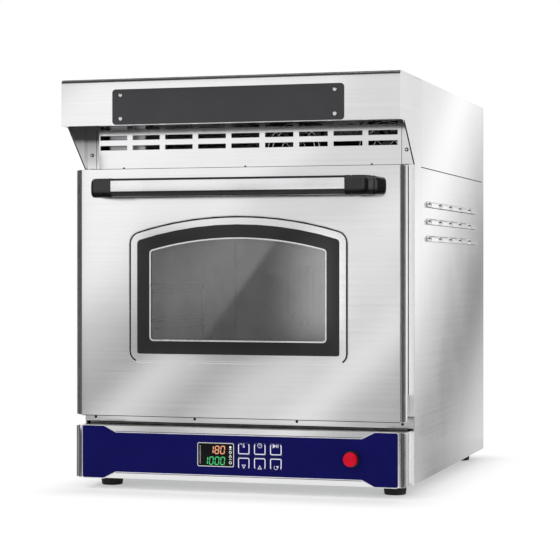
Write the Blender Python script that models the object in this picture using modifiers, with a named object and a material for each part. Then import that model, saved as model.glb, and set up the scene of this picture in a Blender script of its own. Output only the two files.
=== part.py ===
"""Countertop pizza oven: a stainless body on four feet, a hood over the vent grille,
a drop-down door with an arched window, and a control box below it.

Lengths are in metres. The origin is at the bottom centre of the whole part. Pieces hang
on an empty at the body's front plane, so a y value in this file is a distance behind
that plane. X runs right, Y back, Z up from the table."""

import math

import bmesh
import bpy
from mathutils import Matrix, Vector

# General clearances and sheet
SHEET = 0.0015
GAP = 0.0003
OVERRUN = 0.004
WELD = 0.000002
FACING_SHARE = 0.99
ROUND_STEPS = 20
ARC_STEPS = 4
WIRE_SIDES = 8

# Body, and the pieces stacked on its front from the table up
BODY_WIDTH = 0.600
BODY_DEPTH = 0.655
FOOT_HEIGHT = 0.020
BOX_LIFT = 0.0005
BOX_HEIGHT = 0.0915
SHADOW_GAP = 0.0035
RAIL_HEIGHT = 0.016
DOOR_OVERLAP = 0.0013
DOOR_HEIGHT = 0.4301
DOOR_HEAD_GAP = 0.0027
CHEEK_HEIGHT = 0.0695
HOOD_FACE = 0.0805
HALF_WIDTH = BODY_WIDTH / 2
INNER_HALF = HALF_WIDTH - SHEET - GAP
BOX_BOTTOM_Z = FOOT_HEIGHT + BOX_LIFT
BOX_TOP_Z = BOX_BOTTOM_Z + BOX_HEIGHT
BOX_MID_Z = BOX_BOTTOM_Z + BOX_HEIGHT / 2
RAIL_BOTTOM_Z = BOX_TOP_Z + SHADOW_GAP
RAIL_TOP_Z = RAIL_BOTTOM_Z + RAIL_HEIGHT
DOOR_BOTTOM_Z = RAIL_TOP_Z - DOOR_OVERLAP
DOOR_TOP_Z = DOOR_BOTTOM_Z + DOOR_HEIGHT
CHEEK_FOOT_Z = DOOR_TOP_Z + DOOR_HEAD_GAP
HOOD_BOTTOM_Z = CHEEK_FOOT_Z + CHEEK_HEIGHT
OVERALL_HEIGHT = HOOD_BOTTOM_Z + HOOD_FACE

# Body sheets
CORNER_STRIP = 0.0547
REAR_STRIP = 0.0227
SEAM_DROP = 0.0015
SIDE_LIP = 0.012
PAN_WALL = 0.025
DECK_DROP = 0.033
DECK_LIP = 0.015
REAR_STRIP_Y = BODY_DEPTH - REAR_STRIP
SEAM_Z = CHEEK_FOOT_Z - SEAM_DROP
DECK_Z = CHEEK_FOOT_Z - DECK_DROP

# Feet
FOOT_SIDE_INSET = 0.040
FOOT_FRONT_Y = 0.028
FOOT_REAR_INSET = 0.045
FOOT_TOP_RADIUS = 0.0205
FOOT_BOTTOM_RADIUS = 0.0185
FOOT_EDGE = 0.002

# Hood over the grille
HOOD_REACH = 0.10845
HOOD_TOP_RADIUS = 0.0065
CHEEK_STEP = 0.082
CHEEK_SLOPE_START = 0.072
CHEEK_SLOPE_DROP = 0.0065
HOOD_LIP = 0.010
FLANGE_WIDTH = 0.0217
FLANGE_HEAD = 0.013

# Vent grille
GRILLE_DROP = 0.0005
GRILLE_HEAD = 0.023
SLOT_MARGIN = 0.0069
SLOT_WEB = 0.0104
SLOT_HEIGHT = 0.008
SLOT_ROW_PITCH = 0.0178
SLOT_TOP_ROW_RISE = 0.004
SLOT_COLUMNS = 9
SLOT_ROWS = 3
GRILLE_OPENING_MARGIN = 0.008
GRILLE_HALF = HALF_WIDTH - FLANGE_WIDTH - GAP
GRILLE_BOTTOM_Z = CHEEK_FOOT_Z - GRILLE_DROP
SLOT_PITCH = (2 * GRILLE_HALF - 2 * SLOT_MARGIN + SLOT_WEB) / SLOT_COLUMNS
SLOT_LENGTH = SLOT_PITCH - SLOT_WEB
SLOT_TOP_ROW_Z = HOOD_BOTTOM_Z + SLOT_TOP_ROW_RISE

# Sheet-metal screws
SCREW_RADIUS = 0.0034
SCREW_HEIGHT = 0.0022
SCREW_PROUD_SHARE = 0.45
SCREW_SIDES = 8
SCREW_RINGS = 4
FLANGE_SCREW_INSET = 0.0132
FLANGE_SCREW_RISE = 0.0256
GRILLE_SCREW_INSET = 0.052
GRILLE_SCREW_RISE = 0.004
RAIL_SCREW_INSET = 0.0203
RAIL_SCREW_DROP = 0.0055
RAIL_SCREW_COUNT = 4

# Nameplate
PLATE_SIDE_MARGIN = 0.095
PLATE_FOOT_MARGIN = 0.0007
PLATE_HEAD_MARGIN = 0.0192
PLATE_THICKNESS = 0.002
PLATE_CORNER = 0.006
PLATE_SCREW_INSET_X = 0.0153
PLATE_SCREW_INSET_Z = 0.0100
PLATE_BACK = -HOOD_REACH - GAP

# Rail under the door
RAIL_CORNER = 0.005

# Side louvers, with a unit shape of (out, up, end inset) shares
LOUVER_ROWS = 3
LOUVER_COLUMNS = 5
LOUVER_FRONT_MARGIN = 0.0433
LOUVER_REAR_MARGIN = 0.0723
LOUVER_WEB = 0.0055
LOUVER_SEAM_DROP = 0.1275
LOUVER_ROW_PITCH = 0.030
LOUVER_HEIGHT = 0.010
LOUVER_PROUD = 0.006
LOUVER_SHAPE_SHARES = (
    (0, 0, 0),
    (0, 0.7, 0.03),
    (0, 1, 0.12),
    (1, 0, 0.05),
    (0.95, 0.4, 0.07),
    (0.6, 0.75, 0.10),
)
LOUVER_FRONT_Y = CORNER_STRIP + LOUVER_FRONT_MARGIN
LOUVER_RUN = REAR_STRIP_Y - LOUVER_REAR_MARGIN - LOUVER_FRONT_Y
LOUVER_PITCH = (LOUVER_RUN + LOUVER_WEB) / LOUVER_COLUMNS
LOUVER_LENGTH = LOUVER_PITCH - LOUVER_WEB
LOUVER_BOTTOM_Z = SEAM_Z - LOUVER_SEAM_DROP

# Rear panel
REAR_SLOT_COUNT = 14
REAR_SLOT_WIDTH = 0.006
REAR_SLOT_HEIGHT = 0.060
REAR_SLOT_PITCH = 0.024
REAR_UPPER_SLOT_DROP = 0.093
REAR_LOWER_SLOT_DROP = 0.383
GLAND_INSET = 0.070
GLAND_Z = 0.075
GLAND_REACH = 0.020
GLAND_THREAD_RADIUS = 0.0100
GLAND_NUT_RADIUS = 0.0145
GLAND_NUT_THICKNESS = 0.006
GLAND_BORE_RADIUS = 0.005
GLAND_DOME_RADIUS = 0.0115
GLAND_SIDES = 12
GLAND_X = HALF_WIDTH - GLAND_INSET

# Cooking chamber
SIDE_BAY = 0.075
REAR_BAY = 0.165
CHAMBER_FLOOR_RISE = 0.0598
CHAMBER_HEAD_DROP = 0.1003
INSULATION = 0.030
LEDGE_WIDTH = 0.014
LEDGE_RISE = 0.0147
LEDGE_REAR_GAP = 0.010
STONE_SIDE_GAP = 0.005
STONE_THICKNESS = 0.018
STONE_FRONT_Y = 0.008
STONE_REAR_GAP = 0.004
STONE_EDGE = 0.002
MOUTH_SEAL_INNER = 0.008
MOUTH_SEAL_WIDTH = 0.012
MOUTH_SEAL_CORNER = 0.016
CHAMBER_HALF = HALF_WIDTH - SIDE_BAY
CHAMBER_BACK_Y = BODY_DEPTH - REAR_BAY
CHAMBER_FLOOR_Z = DOOR_BOTTOM_Z + CHAMBER_FLOOR_RISE
CHAMBER_TOP_Z = DOOR_TOP_Z - CHAMBER_HEAD_DROP
CHAMBER_HEIGHT = CHAMBER_TOP_Z - CHAMBER_FLOOR_Z
LINER_HALF_IN = CHAMBER_HALF - SHEET
JACKET_BACK_Y = CHAMBER_BACK_Y + GAP + INSULATION
LEDGE_TOP_Z = CHAMBER_FLOOR_Z + LEDGE_RISE
STONE_TOP_Z = LEDGE_TOP_Z + GAP + STONE_THICKNESS

# Rack guides, with the height of each level as a share of the chamber's
GUIDE_WIRE = 0.00225
GUIDE_LEVEL_SHARES = (0.3481, 0.6019)
GUIDE_PAIR = 0.0145
GUIDE_FRONT_Y = 0.040
GUIDE_REAR_GAP = 0.070
GUIDE_FOOT_RISE = 0.009
GUIDE_HEAD_RISE = 0.0325
GUIDE_OVERLAP = 0.0034
GUIDE_WIRE_END = 0.012
GUIDE_LEVELS_Z = tuple(CHAMBER_FLOOR_Z + share * CHAMBER_HEIGHT for share in GUIDE_LEVEL_SHARES)
GUIDE_BACK_Y = CHAMBER_BACK_Y - GUIDE_REAR_GAP
GUIDE_FOOT_Z = STONE_TOP_Z + GUIDE_FOOT_RISE
GUIDE_TOP_Z = GUIDE_LEVELS_Z[-1] + GUIDE_HEAD_RISE

# Heating elements
HEATER_RADIUS = 0.004
HEATER_LOW_RISE = 0.0075
HEATER_HIGH_DROP = 0.012
HEATER_SIDE_GAP = 0.075
HEATER_RUN_COUNT = 4
HEATER_FRONT_Y = 0.090
HEATER_TURN_GAP = 0.110
HEATER_TAIL = 0.014
HEATER_TURN_STEPS = 6
HEATER_LOW_Z = CHAMBER_FLOOR_Z + HEATER_LOW_RISE
HEATER_HIGH_Z = CHAMBER_TOP_Z - HEATER_HIGH_DROP
HEATER_RUN_X = CHAMBER_HALF - HEATER_SIDE_GAP
HEATER_TURN_Y = CHAMBER_BACK_Y - HEATER_TURN_GAP

# Hot-air fan
BAFFLE_SIDE_GAP = 0.058
BAFFLE_FOOT_GAP = 0.003
BAFFLE_HEAD_GAP = 0.024
BAFFLE_DEPTH = 0.043
BAFFLE_CORNER = 0.010
WHEEL_RADIUS_SHARE = 0.3333
WHEEL_PLATE = 0.002
WHEEL_BACK_CLEARANCE = 0.006
WHEEL_BLADES = 10
BLADE_DEPTH = 0.026
BLADE_LENGTH_SHARE = 0.43
BLADE_THICKNESS = 0.0015
HUB_RADIUS = 0.012
SHAFT_RADIUS = 0.005
SHAFT_LENGTH_IN_MOTOR = 0.018
SHAFT_WALL_CLEARANCE = 0.004
MOTOR_FLANGE_RADIUS = 0.050
MOTOR_FLANGE = 0.004
MOTOR_RADIUS = 0.038
MOTOR_LENGTH = 0.060
MOTOR_EDGE = 0.005
INTAKE_INSET = 0.008
INTAKE_SLOTS = 9
INTAKE_SLOT_WIDTH_SHARE = 0.13
INTAKE_SLOT_PITCH_SHARE = 0.21
OUTLET_HEIGHT_SHARE = 0.71
OUTLET_DEPTH = 0.024
BAFFLE_HALF = CHAMBER_HALF - BAFFLE_SIDE_GAP
BAFFLE_BOTTOM_Z = STONE_TOP_Z + BAFFLE_FOOT_GAP
BAFFLE_TOP_Z = CHAMBER_TOP_Z - BAFFLE_HEAD_GAP
BAFFLE_HEIGHT = BAFFLE_TOP_Z - BAFFLE_BOTTOM_Z
WHEEL_Y = CHAMBER_BACK_Y - SHEET - WHEEL_BACK_CLEARANCE
WHEEL_Z = BAFFLE_BOTTOM_Z + BAFFLE_HEIGHT / 2
WHEEL_RADIUS = BAFFLE_HEIGHT * WHEEL_RADIUS_SHARE
BLADE_LENGTH = WHEEL_RADIUS * BLADE_LENGTH_SHARE
INTAKE_RADIUS = WHEEL_RADIUS - INTAKE_INSET
MOTOR_Y = JACKET_BACK_Y + GAP

# Lamp and temperature probe
LAMP_REAR_GAP = 0.240
LAMP_HOLE_RADIUS = 0.018
LAMP_GLASS_RADIUS = 0.022
LAMP_GLASS_REACH = 0.012
LAMP_GLASS_RIM = 0.003
LAMP_HOLDER_LENGTH = 0.050
LAMP_HOLDER_FLANGE = 0.024
PROBE_SIDE_GAP = 0.035
PROBE_DROP = 0.060
PROBE_RADIUS = 0.002
PROBE_LENGTH = 0.090
PROBE_NUT_RADIUS = 0.006
PROBE_NUT = 0.005
TOP_WIRE_Z = GUIDE_LEVELS_Z[-1] + GUIDE_PAIR / 2 + GUIDE_WIRE
LAMP_Y = CHAMBER_BACK_Y - LAMP_REAR_GAP
LAMP_Z = (TOP_WIRE_Z + CHAMBER_TOP_Z) / 2
PROBE_X = CHAMBER_HALF - PROBE_SIDE_GAP
PROBE_Z = CHAMBER_TOP_Z - PROBE_DROP

# Door
DOOR_REVEAL = 0.0057
DOOR_FRONT = 0.0514
DOOR_SKIN_DEPTH = 0.023
DOOR_BACK = 0.008
DOOR_EDGE_RADIUS = 0.0087
INNER_SIDE_INSET = 0.0103
INNER_BOTTOM_INSET = 0.0078
HINGE_INSET = 0.018
HINGE_RISE = 0.0118
DOOR_WIDTH = BODY_WIDTH - 2 * DOOR_REVEAL
SKIN_BACK = SHEET - DOOR_FRONT
MOUTH_SEAL_DEPTH = DOOR_BACK - GAP
HINGE_Y = -DOOR_BACK - HINGE_INSET
HINGE_Z = DOOR_BOTTOM_Z + HINGE_RISE

# Window in the door
WINDOW_STILE = 0.1123
WINDOW_SILL = 0.1083
WINDOW_HEAD = 0.0975
WINDOW_ARCH_RISE = 0.0273
WINDOW_CORNER = 0.004
WINDOW_SHOULDER_RADIUS = 0.007
PANE_CORNER = 0.006
ARCH_STEPS = 10
BORDER_WIDTH = 0.0225
BORDER_RISE = 0.0012
TRIM_WIDTH = 0.0020
TRIM_RISE = 0.0014
GROOVE_OFFSET = 0.0130
GROOVE_WIDTH = 0.0030
GROOVE_DEPTH = 0.0007
GLASS_THICKNESS = 0.004
GLASS_OVERLAP = 0.008
INNER_WINDOW_SIDE_INSET = 0.010
INNER_WINDOW_SILL_DROP = 0.0065
INNER_WINDOW_HEAD_RISE = 0.0052
INNER_WINDOW_CORNER = 0.012
WINDOW_HALF = DOOR_WIDTH / 2 - WINDOW_STILE
WINDOW_BOTTOM_Z = DOOR_BOTTOM_Z + WINDOW_SILL
WINDOW_APEX_Z = DOOR_TOP_Z - WINDOW_HEAD
INNER_WINDOW_HALF = WINDOW_HALF - INNER_WINDOW_SIDE_INSET
INNER_WINDOW_BOTTOM_Z = WINDOW_BOTTOM_Z - INNER_WINDOW_SILL_DROP
INNER_WINDOW_TOP_Z = WINDOW_APEX_Z + INNER_WINDOW_HEAD_RISE

# Handle
HANDLE_REACH = 0.114
HANDLE_DEPTH = 0.018
HANDLE_DROP = 0.0193
BAR_SIDE_INSET = 0.0873
BAR_HEIGHT = 0.031
BAR_TOP_RADIUS = 0.004
BAR_BOTTOM_RADIUS = 0.009
BRACKET_RISE = 0.0007
BRACKET_SHOULDER = 0.036
BRACKET_CORNER = 0.0475
BRACKET_FOOT = 0.058
BRACKET_INNER = 0.019
BRACKET_FOOT_WIDTH = 0.024
BRACKET_CORNER_DROP = 0.006
BRACKET_FLANK_DEPTH = 0.046
BRACKET_BEVEL = 0.0045
BRACKET_BEVEL_ANGLE = math.radians(60)
BAR_HALF = DOOR_WIDTH / 2 - BAR_SIDE_INSET
BAR_TOP_Z = DOOR_TOP_Z - HANDLE_DROP
BAR_BOTTOM_Z = BAR_TOP_Z - BAR_HEIGHT

# Door hinges
EAR_INSET = 0.0338
EAR_THICKNESS = 0.005
EAR_RADIUS = 0.008
EAR_BASE_WIDTH = 0.021
EAR_BASE_THICKNESS = 0.002
EAR_BASE_RISE = 0.018
EAR_BASE_DROP = 0.0095
PIN_RADIUS = 0.0035
PIN_CLEARANCE = 0.0001
ARM_GAP = 0.0015
ARM_THICKNESS = 0.003
ARM_RISE = 0.058
ARM_FLANGE_WIDTH = 0.014
ARM_FLANGE_RISE = 0.016
NOTCH_HALF = 0.0095
NOTCH_RISE = 0.010
EAR_X = DOOR_WIDTH / 2 - EAR_INSET

# Control box
BOX_REVEAL = 0.0056
BOX_REACH = 0.053
BOX_SIDE_DEPTH = 0.033
BOX_EDGE_RADIUS = 0.0095
FILM_THICKNESS = 0.0008
FILM_SIDE_INSET = 0.0112
FILM_EDGE = 0.0006
FILM_END_WIDTH = 0.0395
FILM_SLOPE_WIDTH = 0.0221
FILM_STEP = 0.0112
FILM_CORNER = 0.003
WIRING_HALF_WIDTH = 0.060
WIRING_HALF_HEIGHT = 0.0225
BOX_WIDTH = BODY_WIDTH - 2 * BOX_REVEAL
FILM_BACK = -BOX_REACH - GAP
FILM_HALF = BOX_WIDTH / 2 - FILM_SIDE_INSET
FILM_STEP_OUTER_X = FILM_HALF - FILM_END_WIDTH
FILM_STEP_INNER_X = FILM_STEP_OUTER_X - FILM_SLOPE_WIDTH

# Display and keys
DISPLAY_X = -0.0368
DISPLAY_RAISE = 0.0008
DISPLAY_WIDTH = 0.0661
DISPLAY_HEIGHT = 0.0410
DISPLAY_CORNER = 0.003
DISPLAY_RISE = 0.0006
DISPLAY_BODY_INSET = 0.003
DISPLAY_BODY_DEPTH = 0.0125
KEY_WIDTH = 0.0223
KEY_HEIGHT = 0.0204
KEY_WEB_X = 0.0063
KEY_WEB_Z = 0.0035
KEY_DISPLAY_GAP = 0.00655
KEY_COLUMNS = 3
KEY_CORNER = 0.002
KEY_THICKNESS = 0.0008
KEY_LIFT = 0.0008
BOARD_WIDTH = 0.190
BOARD_HEIGHT = 0.060
BOARD_THICKNESS = 0.0016
BOARD_X = 0.005
BOARD_SETBACK = 0.0145
POST_RADIUS = 0.003
POST_INSET = 0.006
RELAY_WIDTH = 0.018
RELAY_HEIGHT = 0.014
RELAY_DEPTH = 0.012
RELAY_PITCH = 0.030
RELAY_COUNT = 3
DISPLAY_Z = BOX_MID_Z + DISPLAY_RAISE
KEY_PITCH_X = KEY_WIDTH + KEY_WEB_X
KEY_PITCH_Z = KEY_HEIGHT + KEY_WEB_Z
KEY_FIRST_X = DISPLAY_X + DISPLAY_WIDTH / 2 + KEY_DISPLAY_GAP + KEY_WIDTH / 2
KEY_ROWS_Z = (BOX_MID_Z + KEY_PITCH_Z / 2, BOX_MID_Z - KEY_PITCH_Z / 2)

# Push button
BUTTON_INSET = 0.0905
BUTTON_RAISE = 0.0005
BUTTON_RADIUS = 0.0128
BUTTON_HEIGHT = 0.0065
BUTTON_DOME = 0.0022
BUTTON_DISH_RADIUS = 0.005
BUTTON_DISH = 0.0008
BUTTON_STEM_RADIUS = 0.0068
BUTTON_STEM = 0.019
BUTTON_TRAVEL = 0.004
BUTTON_STOP = 0.0006
COLLAR_RADIUS = 0.0142
COLLAR_HEIGHT = 0.0028
COLLAR_EDGE = 0.001
COLLAR_WALL = 0.0029
COLLAR_NECK = 0.008
BUTTON_X = BOX_WIDTH / 2 - BUTTON_INSET
BUTTON_Z = BOX_MID_Z + BUTTON_RAISE
COLLAR_BORE_RADIUS = BUTTON_STEM_RADIUS + GAP
COLLAR_NECK_RADIUS = COLLAR_BORE_RADIUS + COLLAR_WALL

# Cooling fans, with the guard's rings as shares of the frame's half width
FAN_HALF = 0.048
FAN_SIDE_GAP = 0.0035
FAN_SPACING = 0.0675
FAN_LIFT = 0.013
FAN_FRONT_Y = 0.008
FAN_DEPTH = 0.025
FAN_WALL = 0.0035
FAN_TIP_GAP = 0.002
FAN_HUB_RADIUS = 0.016
FAN_BLADES = 7
FAN_BLADE_CHORD = 0.0135
FAN_BLADE_THICKNESS = 0.0014
FAN_BLADE_PITCH = math.radians(38)
FAN_ROTOR_DEPTH = 0.016
FAN_SPOKE = 0.004
FAN_SPOKE_DEPTH = 0.003
FAN_FOOT_WIDTH = 0.030
GUARD_RING_SHARES = (0.115, 0.458, 0.802, 0.969)
GUARD_WIRE = 0.0009
GUARD_SINK = 0.0006
GUARD_STEPS = 4
FAN_BORE_RADIUS = FAN_HALF - FAN_WALL
FAN_BLADE_TIP = FAN_BORE_RADIUS - FAN_TIP_GAP
FAN_RIGHT_X = HALF_WIDTH - FAN_SIDE_GAP - FAN_HALF
FAN_XS = (FAN_RIGHT_X - 2 * FAN_HALF - FAN_SPACING, FAN_RIGHT_X)
FAN_Z = DECK_Z + FAN_LIFT + FAN_HALF
GUARD_RINGS = tuple(FAN_HALF * share for share in GUARD_RING_SHARES)

# Power box behind the grille
POWER_SIDE_GAP = 0.038
POWER_WIDTH = 0.072
POWER_FRONT_Y = 0.014
POWER_DEPTH = 0.110
POWER_HEIGHT = 0.112
POWER_LIP = 0.010
POWER_LEFT_X = POWER_SIDE_GAP - HALF_WIDTH

# Place of the body's front plane, with the whole part centred on the origin
FRONT_Y = (HANDLE_REACH - BODY_DEPTH - GLAND_REACH) / 2

# Colour, roughness and metallic value of each finish
FINISHES = {
    "brushed_steel": ((0.72, 0.72, 0.73), 0.34, 1.0),
    "liner_steel": ((0.50, 0.50, 0.51), 0.40, 1.0),
    "dark_plate": ((0.051, 0.051, 0.053), 0.50, 0.3),
    "black_plastic": ((0.018, 0.018, 0.019), 0.45, 0.0),
    "rubber": ((0.020, 0.020, 0.020), 0.80, 0.0),
    "aluminium": ((0.80, 0.80, 0.81), 0.30, 1.0),
    "black_enamel": ((0.036, 0.036, 0.038), 0.25, 0.0),
    "silver_print": ((0.75, 0.75, 0.77), 0.25, 1.0),
    "tinted_glass": ((0.10, 0.10, 0.10), 0.05, 0.0),
    "clear_glass": ((0.80, 0.82, 0.82), 0.04, 0.0),
    "navy_film": ((0.005, 0.005, 0.080), 0.35, 0.0),
    "display_black": ((0.006, 0.006, 0.006), 0.20, 0.0),
    "red_plastic": ((0.78, 0.0, 0.024), 0.35, 0.0),
    "seal_grey": ((0.16, 0.16, 0.15), 0.85, 0.0),
    "mineral_board": ((0.62, 0.58, 0.48), 0.95, 0.0),
    "cordierite": ((0.62, 0.54, 0.42), 0.90, 0.0),
    "heater_sheath": ((0.16, 0.15, 0.14), 0.55, 0.8),
    "zinc_plate": ((0.55, 0.56, 0.57), 0.42, 1.0),
    "chrome_wire": ((0.70, 0.70, 0.71), 0.20, 1.0),
    "circuit_board": ((0.02, 0.16, 0.06), 0.50, 0.0),
}


def clear_scene():
    """Start from an empty file."""
    for obj in list(bpy.data.objects):
        bpy.data.objects.remove(obj, do_unlink=True)


clear_scene()
PARTS = bpy.data.collections.new("pizza_oven")
CUTTERS = bpy.data.collections.new("cutters")
bpy.context.scene.collection.children.link(PARTS)
bpy.context.scene.collection.children.link(CUTTERS)


def empty(name, place, parent=None):
    """A plain point that pieces hang on."""
    point = bpy.data.objects.new(name, None)
    point.location = place
    point.parent = parent
    PARTS.objects.link(point)
    return point


BODY = empty("body_front_plane", (0, FRONT_Y, 0))
HINGE_POINT = Vector((0, HINGE_Y, HINGE_Z))
DOOR = empty("door_hinge_axis", HINGE_POINT, BODY)


def paint(obj, finish):
    """Give the piece its own material of the named finish."""
    color, roughness, metallic = FINISHES[finish]
    material = bpy.data.materials.new(obj.name + "_" + finish)
    material.use_nodes = True
    shader = material.node_tree.nodes["Principled BSDF"]
    shader.inputs["Base Color"].default_value = (*color, 1)
    shader.inputs["Roughness"].default_value = roughness
    shader.inputs["Metallic"].default_value = metallic
    material.diffuse_color = (*color, 1)
    obj.data.materials.clear()
    obj.data.materials.append(material)


def hang(obj, parent):
    """Parent a piece that was placed in the body's frame."""
    obj.parent = parent
    if parent is DOOR:
        obj.location = obj.location - HINGE_POINT


def mesh_object(name, bm, parent, place=(0, 0, 0), turn=None):
    """Turn a bmesh into an object, in the cutters' collection until it is kept."""
    mesh = bpy.data.meshes.new(name)
    bm.to_mesh(mesh)
    bm.free()
    obj = bpy.data.objects.new(name, mesh)
    CUTTERS.objects.link(obj)
    obj.hide_render = True
    obj.display_type = "WIRE"
    if turn is not None:
        obj.rotation_euler = turn.to_euler()
    obj.location = place
    hang(obj, parent)
    return obj


def keep(obj, finish):
    """Move a finished piece from the guides to the part."""
    CUTTERS.objects.unlink(obj)
    PARTS.objects.link(obj)
    obj.hide_render = False
    obj.display_type = "TEXTURED"
    paint(obj, finish)
    return obj


def box_bmesh(low, high):
    """A box between two corners."""
    low, high = Vector(low), Vector(high)
    bm = bmesh.new()
    middle = Matrix.Translation((low + high) / 2)
    bmesh.ops.create_cube(bm, size=1, matrix=middle @ Matrix.Diagonal((*(high - low), 1)))
    return bm


def box(name, low, high, parent=BODY):
    return mesh_object(name, box_bmesh(low, high), parent)


def sides(name, x, low, high, parent=BODY):
    """Two like boxes, mirrored across the middle: x is the near and far distance."""
    bm = box_bmesh((x[0], low[0], low[1]), (x[1], high[0], high[1]))
    copy = bm.copy()
    bmesh.ops.transform(copy, matrix=Matrix.Scale(-1, 4, (1, 0, 0)), verts=copy.verts)
    bmesh.ops.reverse_faces(copy, faces=copy.faces)
    mesh = bpy.data.meshes.new(name + "_copy")
    copy.to_mesh(mesh)
    bm.from_mesh(mesh)
    copy.free()
    bpy.data.meshes.remove(mesh)
    return mesh_object(name, bm, parent)


def many_boxes(name, corners, parent=BODY):
    """Several boxes that don't touch, as one cutter."""
    bm = bmesh.new()
    for low, high in corners:
        low, high = Vector(low), Vector(high)
        middle = Matrix.Translation((low + high) / 2)
        bmesh.ops.create_cube(bm, size=1, matrix=middle @ Matrix.Diagonal((*(high - low), 1)))
    return mesh_object(name, bm, parent)


def folded_box(name, low, high, open_sides, parent=BODY, edge_radius=0):
    """A sheet-metal box with some sides left off. Its upright front edges can be round."""
    bm = box_bmesh(low, high)
    if edge_radius:
        front = min(v.co.y for v in bm.verts)
        upright = [
            e for e in bm.edges
            if all(abs(v.co.y - front) < GAP for v in e.verts)
            and abs(e.verts[0].co.x - e.verts[1].co.x) < GAP
        ]
        bmesh.ops.bevel(bm, geom=upright, offset=edge_radius, segments=ARC_STEPS,
                        profile=1 / 2, affect="EDGES")
    bm.normal_update()
    left_off = [
        f for f in bm.faces
        if any(f.normal.dot(Vector(side)) > FACING_SHARE for side in open_sides)
    ]
    bmesh.ops.delete(bm, geom=left_off, context="FACES")
    obj = mesh_object(name, bm, parent)
    solid = obj.modifiers.new("sheet", "SOLIDIFY")
    solid.thickness = SHEET
    solid.offset = -1
    solid.use_even_offset = True
    return obj


LEFT, RIGHT = (-1, 0, 0), (1, 0, 0)
FRONT, BACK = (0, -1, 0), (0, 1, 0)
DOWN, UP = (0, 0, -1), (0, 0, 1)


def join(obj, *others):
    """Weld other solids onto a piece."""
    for other in others:
        step = obj.modifiers.new("join_" + other.name, "BOOLEAN")
        step.operation = "UNION"
        step.solver = "EXACT"
        step.object = other
    return obj


def cut(obj, *others):
    """Take other solids out of a piece."""
    for other in others:
        step = obj.modifiers.new("cut_" + other.name, "BOOLEAN")
        step.operation = "DIFFERENCE"
        step.solver = "EXACT"
        step.object = other
    return obj


FACING_FRONT = Matrix(((1, 0, 0), (0, 0, -1), (0, 1, 0)))
ALONG_X = Matrix(((0, 0, 1), (1, 0, 0), (0, 1, 0)))
LEVEL = Matrix.Identity(3)


def outline(name, loops, turn, centre, thickness, parent=BODY):
    """A flat outline with its holes, extruded to a plate about the centre point."""
    curve = bpy.data.curves.new(name, "CURVE")
    curve.dimensions = "2D"
    curve.fill_mode = "BOTH"
    curve.extrude = thickness / 2
    for loop in loops:
        spline = curve.splines.new("POLY")
        spline.points.add(len(loop) - 1)
        for point, (a, b) in zip(spline.points, loop):
            point.co = (a, b, 0, 1)
        spline.use_cyclic_u = True
    guide = bpy.data.objects.new(name + "_curve", curve)
    CUTTERS.objects.link(guide)
    guide.matrix_world = Matrix.Translation(centre) @ turn.to_4x4()
    bpy.context.view_layer.update()
    ready = guide.evaluated_get(bpy.context.evaluated_depsgraph_get())
    mesh = bpy.data.meshes.new_from_object(ready)
    bm = bmesh.new()
    bm.from_mesh(mesh)
    bmesh.ops.remove_doubles(bm, verts=bm.verts, dist=WELD)
    bmesh.ops.transform(bm, matrix=guide.matrix_world, verts=bm.verts)
    bpy.data.objects.remove(guide, do_unlink=True)
    bpy.data.meshes.remove(mesh)
    return mesh_object(name, bm, parent)


def rounded(corners, steps=ARC_STEPS):
    """The outline through corners given as (a, b, radius), each rounded by its radius."""
    points = []
    count = len(corners)
    for index, (a, b, radius) in enumerate(corners):
        here = Vector((a, b))
        if radius <= 0:
            points.append((a, b))
            continue
        before = (Vector(corners[index - 1][:2]) - here).normalized()
        after = (Vector(corners[(index + 1) % count][:2]) - here).normalized()
        half = before.angle(after) / 2
        reach = radius / math.tan(half)
        centre = here + (before + after).normalized() * (radius / math.sin(half))
        start = here + before * reach - centre
        swing = start.angle_signed(here + after * reach - centre)
        for step in range(steps + 1):
            turn = Matrix.Rotation(-swing * step / steps, 2)
            points.append(tuple(centre + turn @ start))
    return points


def rectangle(low, high, radius=0, steps=ARC_STEPS):
    """A rectangle's outline, with round corners if a radius is given."""
    return rounded([(low[0], low[1], radius), (high[0], low[1], radius),
                    (high[0], high[1], radius), (low[0], high[1], radius)], steps)


def circle(radius):
    """A circle's outline about the origin."""
    angles = [2 * math.pi * step / ROUND_STEPS for step in range(ROUND_STEPS)]
    return [(radius * math.cos(angle), radius * math.sin(angle)) for angle in angles]


def arched(inset):
    """The window's outline: an arch on two upright sides, moved inward by the inset."""
    half = WINDOW_HALF - inset
    bottom = WINDOW_BOTTOM_Z + inset
    rise = WINDOW_ARCH_RISE
    radius = (WINDOW_HALF ** 2 + rise ** 2) / (2 * rise)
    centre_z = WINDOW_APEX_Z - radius
    reach = radius - inset
    shoulder_angle = math.asin(half / reach)
    inside_border = inset > BORDER_WIDTH / 2
    corner = PANE_CORNER if inside_border else max(WINDOW_CORNER - inset, WINDOW_CORNER / 2)
    shoulder = PANE_CORNER if inside_border else max(WINDOW_SHOULDER_RADIUS - inset, WINDOW_CORNER / 2)
    corners = [(-half, bottom, corner), (half, bottom, corner)]
    for step in range(ARCH_STEPS + 1):
        share = 1 - 2 * step / ARCH_STEPS
        angle = shoulder_angle * share
        at_shoulder = abs(share) == 1
        corners.append((reach * math.sin(angle), centre_z + reach * math.cos(angle),
                        shoulder if at_shoulder else 0))
    return rounded(corners)


ABOUT_Y = Matrix(((1, 0, 0), (0, 0, 1), (0, -1, 0)))
ABOUT_X = Matrix(((0, 0, 1), (0, 1, 0), (-1, 0, 0)))


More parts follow.
